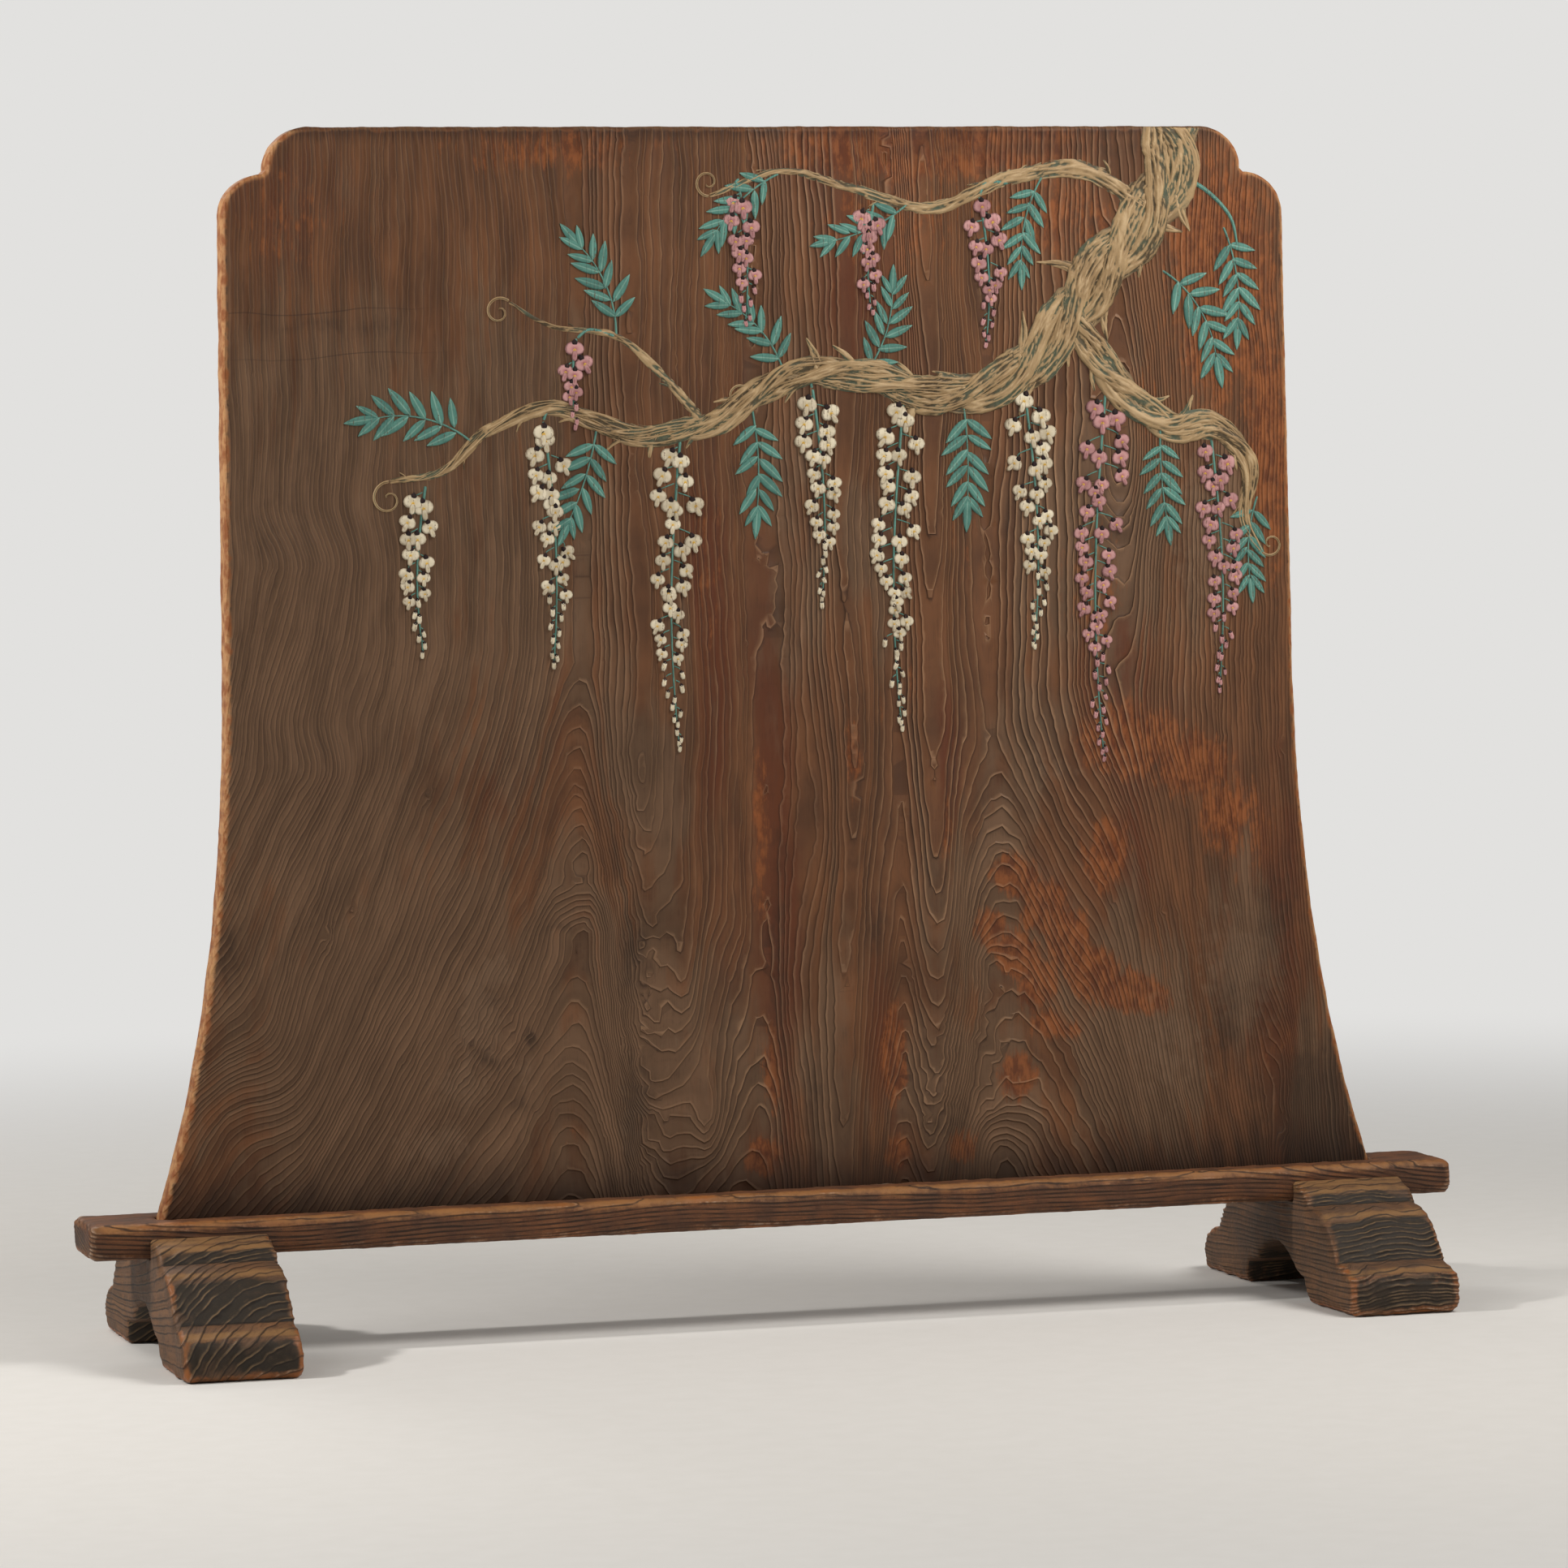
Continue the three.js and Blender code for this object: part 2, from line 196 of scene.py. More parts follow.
# Where it is worn to pale wood in ragged steps
PALE_FIELDS = (
    (-350, 360, 26, 60, 0.8), (-370, 290, 34, 40, 0.7), (-330, 410, 30, 24, 0.7), (-400, 220, 44, 26, 0.8),
    (-300, 300, 18, 40, 0.5), (-175, 240, 20, 50, 0.6), (-130, 330, 16, 60, 0.4), (-550, 640, 60, 20, 0.3),
    (560, 380, 60, 90, 0.6), (520, 900, 60, 120, 0.5), (330, 620, 60, 40, 0.4), (470, 300, 60, 90, 0.5),
)
# Where the wood is red: bands that follow the grain
RED_FIELDS = (
    (-75, 760, 26, 260), (0, 480, 26, 420), (405, 740, 60, 170), (600, 380, 40, 230), (110, 1180, 60, 130, 0.8),
    (-20, 1000, 30, 200, 0.4), (-250, 700, 16, 120, 0.6), (205, 620, 20, 110, 0.9),
    (300, 470, 50, 60, 0.8), (-330, 330, 70, 34, 0.6), (-560, 1260, 80, 90, 0.6), (60, 1300, 120, 60, 0.5),
    (660, 240, 40, 90, 0.6), (130, 300, 26, 110, 0.9), (-475, 645, 50, 26, 0.9), (-330, 620, 60, 80, 0.6),
    (-400, 250, 26, 18, 0.9), (-345, 300, 26, 20, 0.8), (-470, 330, 40, 20, 0.7), (-115, 620, 26, 120, 0.7),
    (-205, 300, 16, 50, 0.8), (-150, 250, 30, 40, 0.6), (565, 420, 36, 190, 0.9), (420, 520, 60, 90, 0.6),
)
# Where soot and damp have stained it dark
STAINED_FIELDS = (
    (-290, 336, 10, 9, 0.9), (-345, 314, 18, 14, 0.6), (-330, 384, 16, 12, 0.5), (-190, 530, 12, 36, 0.6),
    (-168, 430, 18, 60, 0.55), (-170, 250, 24, 70, 0.55), (-252, 456, 26, 10, 0.5), (-300, 262, 20, 14, 0.45),
    (-632, 450, 22, 60, 0.5), (650, 215, 100, 90, 0.9), (545, 330, 26, 120, 0.45), (120, 440, 14, 60, 0.5),
    (95, 560, 12, 70, 0.4), (300, 1330, 260, 14, 0.5), (-520, 1135, 150, 12, 0.35), (-560, 980, 60, 100, 0.25),
    (40, 250, 14, 60, 0.4), (205, 215, 40, 24, 0.4), (600, 400, 44, 200, 0.55), (0, 400, 16, 220, 0.45),
)
# Where it is rubbed down to bright orange wood, with how bright
WORN_FIELDS = (
    (195, 1335, 210, 45, 0.9), (150, 1240, 120, 90, 0.45), (330, 1250, 160, 80, 0.5),
    (545, 1180, 85, 190, 0.75), (600, 990, 40, 190, 0.7), (-545, 1250, 110, 95, 0.4),
    (-525, 1245, 34, 48, 0.45), (-250, 1330, 180, 40, 0.5), (136, 300, 18, 60, 0.95),
    (-10, 290, 14, 60, 0.7), (-22, 190, 20, 26, 0.9), (200, 555, 16, 52, 0.5),
    (92, 640, 14, 60, 0.5), (285, 500, 36, 30, 0.8), (318, 462, 34, 40, 0.85), (348, 425, 34, 40, 0.9),
    (378, 388, 36, 34, 0.9), (412, 362, 42, 28, 1.0), (446, 352, 32, 22, 0.9), (255, 436, 24, 26, 0.85),
    (284, 408, 30, 32, 0.9), (310, 374, 26, 34, 0.9), (322, 325, 28, 24, 0.75), (346, 318, 22, 18, 0.6),
    (283, 266, 26, 32, 0.9), (218, 190, 26, 24, 0.7), (135, 185, 18, 26, 0.8), (430, 650, 80, 50, 0.8),
    (500, 620, 70, 50, 0.75), (545, 560, 50, 60, 0.65), (395, 520, 36, 50, 0.7),
    (380, 830, 60, 110, 0.4), (450, 640, 60, 110, 0.35),
    (575, 540, 50, 90, 0.45), (600, 300, 34, 150, 0.5), (-70, 860, 34, 190, 0.35),
    (-20, 560, 16, 160, 0.5), (232, 900, 34, 120, 0.35), (455, 1010, 26, 110, 0.45),
    (-240, 230, 30, 26, 0.35), (150, 720, 50, 60, 0.35),
)


# Numbers

def linear(hex_colour):
    """Turns an sRGB hex colour to the linear values that Blender uses."""
    parts = [int(hex_colour[i : i + 2], 16) / 255 for i in (1, 3, 5)]
    return (*[p / 12.92 if p <= 0.04045 else ((p + 0.055) / 1.055) ** 2.4 for p in parts], 1.0)


def ease(t):
    t = np.clip(t, 0, 1)
    return t * t * (3 - 2 * t)


def waves(u, v, seed):
    """Smooth seeded noise from -1 to 1, one wave to each unit of u and v."""
    size = 97
    turn = np.random.default_rng(seed).uniform(0, 2 * math.pi, (size, size))
    lean_u, lean_v = np.cos(turn), np.sin(turn)
    u, v = u + 31.7, v + 17.3
    i, j = np.floor(u).astype(int), np.floor(v).astype(int)
    s, t = u - i, v - j

    def pull(a, b):
        corner = (i + a) % size, (j + b) % size
        return lean_u[corner] * (s - a) + lean_v[corner] * (t - b)

    low = pull(0, 0) + (pull(1, 0) - pull(0, 0)) * ease(s)
    high = pull(0, 1) + (pull(1, 1) - pull(0, 1)) * ease(s)
    return 1.6 * (low + (high - low) * ease(t))


def uneven(ring):
    """Gives the rings uneven widths, as good and poor years do."""
    years = 400
    widths = np.random.default_rng(7).uniform(0.55, 1.45, years)
    spells = np.convolve(np.random.default_rng(8).uniform(0.6, 1.4, years + 6), np.ones(7) / 7, "valid")
    edges = np.concatenate([[0], np.cumsum(widths * spells)])
    return np.interp(ring, edges / edges[-1] * years - years / 2, np.arange(years + 1) - years / 2)


def soft_patches(x, z, fields):
    """How deep a point lies in any of a list of soft patches, from 0 to 1."""
    depth = np.zeros_like(x)
    for across, height, half_width, half_height, *strength in fields:
        far = ((x - across) / half_width) ** 2 + ((z - height) / half_height) ** 2
        depth = np.maximum(depth, np.exp(-far) * (strength[0] if strength else 1.0))
    return depth


# Rings of the board

def figure_column(column, radius):
    """One column of the figure, eased over a radius in mm."""
    across = np.arange(-800, 801, 1.0)
    values = np.interp(across, [row[0] for row in FIGURE], [row[column] for row in FIGURE])
    kernel = np.exp(-0.5 * (np.arange(-3 * radius, 3 * radius + 1) / radius) ** 2)
    return across, np.convolve(np.pad(values, 3 * radius, mode="edge"), kernel / kernel.sum(), "valid")


def fibre_sway(x, z):
    """How far the fibres lean out of line, in mm."""
    wide = 9 * waves(x / 150, z / 330, 1) + 4 * waves(x / 60, z / 150, 2)
    fine = 1.0 * waves(x / 22, z / 50, 3)
    # on the left they sag and swing back, twice over
    turn = ((z - 10) / 232) % 1.0
    swing = np.where(turn < 0.7, (turn / 0.7) ** 1.5, 1 - ease((turn - 0.7) / 0.3))
    sag = 24 * (swing - 0.4) * ease((z - 420) / 180) * ease((1130 - z) / 200)
    return wide + fine + sag * np.exp(-(((x + 530) / 80) ** 2))


def board_ring(x, z):
    """The ring number at a point of the board's face, in mm. Each whole number is a valley."""
    across = x - fibre_sway(x, z)
    low = ease((560 - z) / 330)
    level, loss, start, power = (
        np.interp(across, *figure_column(column, 4)) * (1 - low)
        + np.interp(across, *figure_column(column, 12)) * low
        for column in (1, 2, 3, 4)
    )
    ring = level - loss * np.clip((start - z) / (start - FIGURE_FOOT), 0, None) ** power
    for place, middle, half_width, half_length, deep in FLAMES:
        ring = ring + deep * np.exp(
            -(((across - place) / half_width) ** 2) - ((z - middle) / half_length) ** 2
        )
    ring = ring + 0.22 * waves(x / 17, z / 42, 4) + 0.12 * waves(x / 7, z / 11, 5)
    wild = soft_patches(x, z, WILD_FIELDS)
    ring = ring + wild * (waves(x / 16, z / 26, 41) + 0.5 * waves(x / 7, z / 10, 42))
    return uneven(ring + 0.5 * waves(x / 50, z / 150, 6))


class Figure:
    """The rings of the board's face, worked out once on a grid and read anywhere on it."""

    step = 2.0
    left, foot = -760.0, 60.0

    def __init__(self):
        across = np.arange(self.left, 761, self.step)
        up = np.arange(self.foot, 1401, self.step)
        x, z = np.meshgrid(across, up, indexing="ij")
        self.ring = board_ring(x, z)
        self.slope_x, self.slope_z = np.gradient(self.ring, self.step)

    def read(self, table, x, z):
        u, v = (x - self.left) / self.step, (z - self.foot) / self.step
        i = np.clip(u.astype(int), 0, table.shape[0] - 2)
        j = np.clip(v.astype(int), 0, table.shape[1] - 2)
        s, t = u - i, v - j
        low = table[i, j] * (1 - s) + table[i + 1, j] * s
        high = table[i, j + 1] * (1 - s) + table[i + 1, j + 1] * s
        return low * (1 - t) + high * t

    def at(self, x, z):
        """Ring number, and its slope across and upward, per mm."""
        x, z = np.asarray(x, float), np.asarray(z, float)
        return tuple(self.read(table, x, z) for table in (self.ring, self.slope_x, self.slope_z))


FACE = Figure()
BOARD_HALF = (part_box("board")[1].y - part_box("board")[0].y) / 2 / MM


def ring_gap(slope_x, slope_z):
    """The distance between ridges, in mm."""
    return np.minimum(1 / np.maximum(np.hypot(slope_x, slope_z), 1e-3), 60)


def ridge_height(ring, gap):
    """Soft wood is brushed away: each ridge drops steeply inward and slopes off outward."""
    past = (ring % 1.0 - 0.5) * gap
    outward = np.minimum(0.7 * gap, RIDGE_LONGEST_SLOPE)
    rise = np.where(past < 0, 1 + past / RIDGE_STEEP_SIDE, (1 - past / outward) ** 2 * (past < outward))
    return RIDGE_HEIGHT * ease((gap - 3.0) / 7.0) * np.clip(rise, 0, 1)


def face_height(x, z):
    """How far the board's face stands out of its plane, in mm."""
    ring, slope_x, slope_z = FACE.at(x, z)
    hand_planed = 0.5 * waves(x / 90, z / 240, 11) + 0.25 * waves(x / 35, z / 90, 12)
    brushed = 1 - 0.6 * soft_patches(x, z, SMOOTH_FIELDS)
    return ridge_height(ring, ring_gap(slope_x, slope_z)) * brushed + hand_planed


# Mesh making

def mesh_object(name, points, faces, smooth=True):
    mesh = bpy.data.meshes.new(name)
    mesh.from_pydata([tuple(p) for p in points], [], faces)
    mesh.validate()
    mesh.update()
    mesh.polygons.foreach_set("use_smooth", [smooth] * len(mesh.polygons))
    piece = bpy.data.objects.new(name, mesh)
    bpy.context.scene.collection.objects.link(piece)
    return piece


def write_attribute(piece, name, values):
    attribute = piece.data.attributes.new(name, "FLOAT", "POINT")
    attribute.data.foreach_set("value", np.asarray(values, np.float32))


def middle_section(node):
    """The outline of a node where the plane y = 0 cuts it, as points in mm, anticlockwise."""
    shape = bmesh.new()
    shape.from_mesh(NODES[node].data)
    bmesh.ops.remove_doubles(shape, verts=shape.verts, dist=1e-5)
    bmesh.ops.bisect_plane(
        shape, geom=shape.verts[:] + shape.edges[:] + shape.faces[:],
        plane_co=(0, 0, 0), plane_no=(0, 1, 0), clear_inner=True, clear_outer=True,
    )
    start = shape.verts[:][0]
    loop, last, now = [start], None, start
    while True:
        after = [e.other_vert(now) for e in now.link_edges if e.other_vert(now) is not last][0]
        if after is start:
            break
        loop.append(after)
        last, now = now, after
    points = np.array([(v.co.x, v.co.z) for v in loop]) / MM
    shape.free()
    after = np.roll(points, -1, 0)
    area = np.sum(points[:, 0] * after[:, 1] - after[:, 0] * points[:, 1])
    return points if area > 0 else points[::-1]


def even_loop(points, step):
    """A closed outline with points at even distances, its corners kept."""
    spaced = []
    for here, after in zip(points, np.roll(points, -1, 0)):
        count = max(1, round(np.hypot(*(after - here)) / step))
        spaced += [here + (after - here) * k / count for k in range(count)]
    return np.array(spaced)


def inset_loop(loop, distance):
    """The loop drawn in by a distance, or by one for each point."""
    along = np.roll(loop, -1, 0) - np.roll(loop, 1, 0)
    along /= np.hypot(*along.T)[:, None]
    return loop + np.stack([-along[:, 1], along[:, 0]], 1) * np.reshape(distance, (-1, 1))


def spans(loop, axis, value):
    """Where the line at a value of one axis runs inside the loop, as pairs on the other."""
    here, after = loop, np.roll(loop, -1, 0)
    hit = (here[:, axis] > value) != (after[:, axis] > value)
    here, after = here[hit], after[hit]
    part = (value - here[:, axis]) / (after[:, axis] - here[:, axis])
    places = np.sort(here[:, 1 - axis] + part * (after[:, 1 - axis] - here[:, 1 - axis]))
    return list(zip(places[0::2], places[1::2]))


def ridge_net(loop, axis):
    """Points where parallel lines cross the ridges, with the edges that run along each ridge."""
    points, edges, last = [], [], None
    for value in np.arange(loop[:, axis].min() + LINE_STEP / 2, loop[:, axis].max(), LINE_STEP):
        row = []
        for start, end in spans(loop, axis, value):
            run = np.arange(start + RIM_STEP, end - RIM_STEP, FINE_STEP)
            if len(run) < 4:
                continue
            still = np.full_like(run, value)
            ring, slope_x, slope_z = FACE.at(*((still, run) if axis == 0 else (run, still)))
            steep = np.abs(slope_z) > np.abs(slope_x)
            mine = steep if axis == 0 else ~steep
            gap = ring_gap(slope_x, slope_z)
            count = np.floor(ring - 0.5)
            at = np.nonzero((count[1:] != count[:-1]) & mine[1:] & (gap[1:] > FINEST_MODELLED_GAP))[0]
            level = np.maximum(count[at], count[at + 1]) + 0.5
            place = run[at] + (level - ring[at]) / (ring[at + 1] - ring[at]) * FINE_STEP
            spot = np.stack([np.full_like(place, value), place], 1)
            spot = spot if axis == 0 else spot[:, ::-1]
            lean = np.stack([slope_x[at], slope_z[at]], 1) * gap[at][:, None]
            foot = spot - lean * RIDGE_STEEP_SIDE
            heel = spot + lean * (0.45 * np.minimum(gap[at], 14.0))[:, None]
            for number in range(len(at)):
                row.append((level[number], place[number], len(points)))
                points += [spot[number], foot[number], heel[number]]
        if last and row:
            there = np.array([(entry[0], entry[1]) for entry in last])
            for level, place, index in row:
                far = np.abs(there[:, 1] - place) + 1e6 * (there[:, 0] != level)
                nearest = int(np.argmin(far))
                if far[nearest] < 1.3 * LINE_STEP:
                    other = last[nearest][2]
                    edges += [(other, index), (other + 1, index + 1)]
        last = row
    return np.array(points), edges


def field_points(loop):
    """A plain grid where the ridges are too fine to model, and on wide valley floors."""
    found = []
    for z in np.arange(loop[:, 1].min() + LINE_STEP, loop[:, 1].max(), LINE_STEP):
        for start, end in spans(loop, 1, z):
            x = np.arange(start + RIM_STEP, end - RIM_STEP, LINE_STEP)
            level = np.full_like(x, z)
            ring, slope_x, slope_z = FACE.at(x, level)
            gap = ring_gap(slope_x, slope_z)
            apart = np.abs(ring % 1.0 - 0.5) * gap
            keep = (gap < FINEST_MODELLED_GAP) | (apart > 6.5)
            found.append(np.stack([x, level], 1)[keep])
    return np.concatenate(found)


def filled(loop, inside, edges=()):
    """Triangles over a loop and the points inside it, with edges kept. Gives where loop points went."""
    squares = np.round(inside / 1.2).astype(int)
    _, first, owner = np.unique(squares, axis=0, return_index=True, return_inverse=True)
    owner = owner.reshape(-1) + len(loop)
    kept = [(int(owner[a]), int(owner[b])) for a, b in edges if owner[a] != owner[b]]
    verts = [Vector(p) for p in np.concatenate([loop, inside[first]])]
    points, _, faces, origins, _, _ = delaunay_2d_cdt(verts, kept, [list(range(len(loop)))], 1, 1e-3)
    place_of = {o: i for i, origin in enumerate(origins) for o in origin if o < len(loop)}
    return np.array([tuple(p) for p in points]), faces, [place_of[k] for k in range(len(loop))]


def grid_inside(loop, step):
    found = []
    for z in np.arange(loop[:, 1].min() + step, loop[:, 1].max(), step):
        for start, end in spans(loop, 1, z):
            found += [(x, z) for x in np.arange(start + step / 2, end - step / 2, step)]
    return np.array(found)


def add_block(points, faces, low, high):
    """A closed block between two corners, as the board's tenons are."""
    base = len(points)
    points += [(x, y, z) for z in (low[2], high[2]) for y in (low[1], high[1]) for x in (low[0], high[0])]
    sides = ((0, 2, 3, 1), (4, 5, 7, 6), (0, 1, 5, 4), (2, 6, 7, 3), (0, 4, 6, 2), (1, 3, 7, 5))
    faces += [tuple(base + k for k in side) for side in sides]


def tenon_spans():
    """Where the tenons reach below the board's foot, read from the CAD node: pairs across, in mm."""
    low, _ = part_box("board")
    outline = middle_section("board")
    return spans(outline, 1, low.z / MM + 5.0), low.z / MM


def board_piece():
    """The board with its ridges modelled, which no brush or modifier can lay along such a figure."""
    half = BOARD_HALF
    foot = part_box("rail")[1].z / MM - GROOVE_DEPTH
    outline = middle_section("board")
    outline = even_loop(outline[outline[:, 1] > foot - 0.5], RIM_STEP)
    face_loop = inset_loop(outline, BOARD_EDGE_ROUND)

    net = [ridge_net(face_loop, axis) for axis in (1, 0)]
    inside = np.concatenate([net[0][0], net[1][0], field_points(face_loop)])
    edges = net[0][1] + [(a + len(net[0][0]), b + len(net[0][0])) for a, b in net[1][1]]
    front, front_faces, front_rim = filled(face_loop, inside, edges)
    back, back_faces, back_rim = filled(face_loop, grid_inside(face_loop, BACK_STEP))

    rise = face_height(front[:, 0], front[:, 1])
    points = [(x, -half - r, z) for (x, z), r in zip(front, rise)]
    faces = [tuple(f) for f in front_faces]
    faces += [tuple(len(points) + i for i in reversed(f)) for f in back_faces]
    back_start = len(points)
    points += [(x, half + 0.4 * waves(x / 80, z / 200, 15), z) for x, z in back]

    # the worn rim joins the two faces
    count = len(face_loop)
    rows = [front_rim]
    turns = [math.radians(angle) for angle in (22, 45, 68, 90)]
    profile = [(1 - math.sin(a), 1 - math.cos(a)) for a in turns]
    profile = [(i, -half + BOARD_EDGE_ROUND * o) for i, o in profile]
    profile += [(i, -y) for i, y in reversed(profile)]
    notched = 0.7 * waves(outline[:, 0] / 40, outline[:, 1] / 40, 21)
    notched += 0.35 * waves(outline[:, 0] / 9, outline[:, 1] / 9, 22)
    for inset, y in profile:
        ring_of_points = inset_loop(outline, BOARD_EDGE_ROUND * inset + 0.6 + notched * (1 - inset))
        rows.append([len(points) + k for k in range(count)])
        points += [(x, y, z) for x, z in ring_of_points]
    rows.append([back_start + k for k in back_rim])
    for here, after in zip(rows, rows[1:]):
        faces += [(here[k], after[k], after[(k + 1) % count], here[(k + 1) % count]) for k in range(count)]

    tenons, tenon_foot = tenon_spans()
    shape = NODES["board"].data
    deep = max(abs(v.co.y) for v in shape.vertices if v.co.z < foot * MM - 0.002) / MM
    for left, right in tenons:
        add_block(points, faces, (left, -deep, tenon_foot), (right, deep, foot + 6))

    piece = mesh_object("cedar_board", np.array(points) * MM, faces)
    x, y, z = np.array(points).T
    mirrored = np.where(y > half - 1, -x + 35, x)
    ring, slope_x, slope_z = FACE.at(mirrored, z)
    write_attribute(piece, "ring", ring)
    write_attribute(piece, "gap", ring_gap(slope_x, slope_z))
    ragged = 26 * waves(x / 40, z / 150, 31), 40 * waves(x / 25, z / 90, 32)
    for note, share, fields in (
        ("gloss_and_highlight", 0.8, GLOSS_AND_HIGHLIGHT_FIELDS), ("grey", 1.0, GREY_FIELDS), ("red", 0.4, RED_FIELDS), ("worn", 0.2, WORN_FIELDS),
        ("stained", 0.3, STAINED_FIELDS), ("smooth", 1.0, SMOOTH_FIELDS), ("pale", 0.3, PALE_FIELDS),
    ):
        write_attribute(piece, note, soft_patches(x + share * ragged[0], z + share * ragged[1], fields))
    rim = KDTree(count)
    for k, (a, b) in enumerate(outline):
        rim.insert((a, b, 0), k)
    rim.balance()
    write_attribute(piece, "from_rim", [rim.find((a, b, 0))[2] for a, b in zip(x, z)])
    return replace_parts(piece, "board")


# Rail and feet

def deselect_all():
    bpy.ops.object.select_all(action="DESELECT")


def even_copy(node, name, voxel):
    """A closed copy of a CAD node with small even faces, ready to be worn and carved."""
    deselect_all()
    piece = bpy.data.objects.new(name, NODES[node].data.copy())
    bpy.context.scene.collection.objects.link(piece)
    piece.select_set(True)
    bpy.context.view_layer.objects.active = piece
    bpy.ops.object.mode_set(mode="EDIT")
    bpy.ops.mesh.select_all(action="SELECT")
    bpy.ops.mesh.remove_doubles(threshold=1e-5)
    bpy.ops.object.mode_set(mode="OBJECT")
    remesh = piece.modifiers.new("even", "REMESH")
    remesh.mode, remesh.voxel_size, remesh.use_smooth_shade = "VOXEL", voxel * MM, True
    bpy.ops.object.modifier_apply(modifier="even")
    return piece


def vertex_array(piece, name="co"):
    values = np.empty(3 * len(piece.data.vertices), np.float32)
    piece.data.vertices.foreach_get(name, values)
    return values.reshape(-1, 3).astype(float)


def relaxed(piece, points, rounds):
    """The points after each has moved to the middle of its neighbours a number of times."""
    edges = np.empty(2 * len(piece.data.edges), np.int32)
    piece.data.edges.foreach_get("vertices", edges)
    a, b = edges.reshape(-1, 2).T
    ends, others = np.concatenate([a, b]), np.concatenate([b, a])
    share = 1 / np.maximum(np.bincount(ends, minlength=len(points)), 1)
    for _ in range(rounds):
        points = np.stack([np.bincount(ends, points[others, k], len(points)) * share for k in range(3)], 1)
    return points


def from_box(points, low, high):
    """The distance of each point outside a box."""
    return np.linalg.norm(np.maximum(np.maximum(low - points, points - high), 0), axis=1)


def weather(piece, ring_at, wear, rounds, relief_depth, end_axis, lips, free):
    """Wears the arrises round, brushes out the soft wood between the rings, and notes both for the finish.

    wear and rounds say how far the arrises go; free says how much of this each point may get.
    """
    flat = vertex_array(piece) / MM
    normals = vertex_array(piece, "normal")
    arris = np.sum((flat - relaxed(piece, flat, 9)) * normals, 1)
    soft = relaxed(piece, flat, rounds)
    chips = 0.55 + 0.6 * waves_3d(flat, (11, 11, 11), 51)
    points = flat + (soft - flat) * (wear * np.clip(chips, 0.1, 1.3) * ease(2.5 * free))[:, None]

    step = 0.5
    slope = np.stack([
        (ring_at(points + step * axis) - ring_at(points - step * axis)) / (2 * step) for axis in np.eye(3)
    ], 1)
    slope -= normals * np.sum(slope * normals, 1)[:, None]
    gap = np.minimum(1 / np.maximum(np.linalg.norm(slope, axis=1), 1e-3), 40)
    ring = ring_at(points)
    past = (ring % 1.0 - 0.5) * gap
    rise = np.where(past < 0, 1 + past / np.minimum(2.4, gap / 2), 1 - past / np.minimum(4.5, gap / 2))
    end = ease((np.abs(normals[:, end_axis]) - 0.3) / 0.3)
    strength = ease(0.55 + 0.7 * waves_3d(flat, (26, 40, 20), 61))
    toothed = 1 + 0.7 * np.clip(arris, 0, 1.5)
    relief = relief_depth * (0.5 + 0.5 * end) * strength * toothed * np.clip(rise, 0, 1) ** 1.5
    worn_hollow = 1.6 * waves_3d(flat, (34, 50, 26), 71)
    above_floor = ease((flat[:, 2] - 0.5) / 5)
    relief += end * (0.5 * worn_hollow - 0.4 * relief_depth)
    points += normals * (relief * free * above_floor)[:, None]
    piece.data.vertices.foreach_set("co", (points * MM).astype(np.float32).ravel())
    piece.data.update()
    apart = [np.hypot(np.abs(flat[:, 1]) - out, flat[:, 2] - up) for out, up in lips]
    lip = np.exp(-((np.min(apart, 0) / LIP_REACH) ** 2))
    notes = {"ring": ring, "gap": gap, "arris": arris * free, "end_grain": end, "proud": strength, "lip": lip}
    for name, values in notes.items():
        write_attribute(piece, name, values)


def waves_3d(points, cells, seed):
    """Smooth noise in space, from two flat noises that lean across each other."""
    x, y, z = (points[:, axis] / cells[axis] for axis in range(3))
    return 0.6 * waves(x + 0.37 * z, y - 0.41 * z, seed) + 0.6 * waves(z + 0.43 * y, x - 0.29 * y, seed + 1)


def foot_rings(middle, heart, rise, spacing, sway, seed):
    """The rings of one foot: arcs round a heart beside or below it, which rise towards the front."""
    def ring_at(points):
        x, y, z = points.T
        x = x - middle
        wander = 5.5 * waves_3d(points, (60, 150, 60), seed) + 2.2 * waves_3d(points, (22, 60, 22), seed + 3)
        lift = rise * y * np.clip(z / 110, 0, 1)
        away = np.hypot(x - heart[0], z + lift - heart[1]) + sway * wander
        return uneven(away / spacing - 20 + 0.14 * waves_3d(points, (9, 30, 9), seed + 6))
    return ring_at


def foot_piece(side, heart, rise, spacing, sway, seed):
    node = side + "_foot"
    low, high = (np.array(corner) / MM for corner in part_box(node))
    rail_low, rail_high = (np.array(corner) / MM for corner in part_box("rail"))
    piece = even_copy(node, side + "_sled_foot", FOOT_VOXEL)
    rings = foot_rings((low[0] + high[0]) / 2, heart, rise, spacing, sway, seed)
    flat = vertex_array(piece) / MM
    out, up = np.abs(flat[:, 1]), flat[:, 2]
    free = ease((from_box(flat, rail_low, rail_high) - 1.5) / 6)
    free *= 1 - 0.8 * ease((112 - out) / 14) * ease((74 - up) / 10)
    weather(piece, rings, 1.0, 34, 2.2, 1, FOOT_LIPS_AND_LIT_TOP, free)
    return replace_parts(piece, node)


def rail_rings(points):
    """Rings cut lengthways: lines that run along the rail, lean and drift apart."""
    x, y, z = points.T
    drift = 9 * waves(x / 520, y / 300, 81) + 2.5 * waves(x / 130, y / 90, 82)
    bend = 34 * ease((x - 520) / 330) - 6 * ease((-620 - x) / 180)
    return (z - 0.28 * y + drift + bend) / 5.2 + 0.3 * waves(x / 60, z / 5, 83)


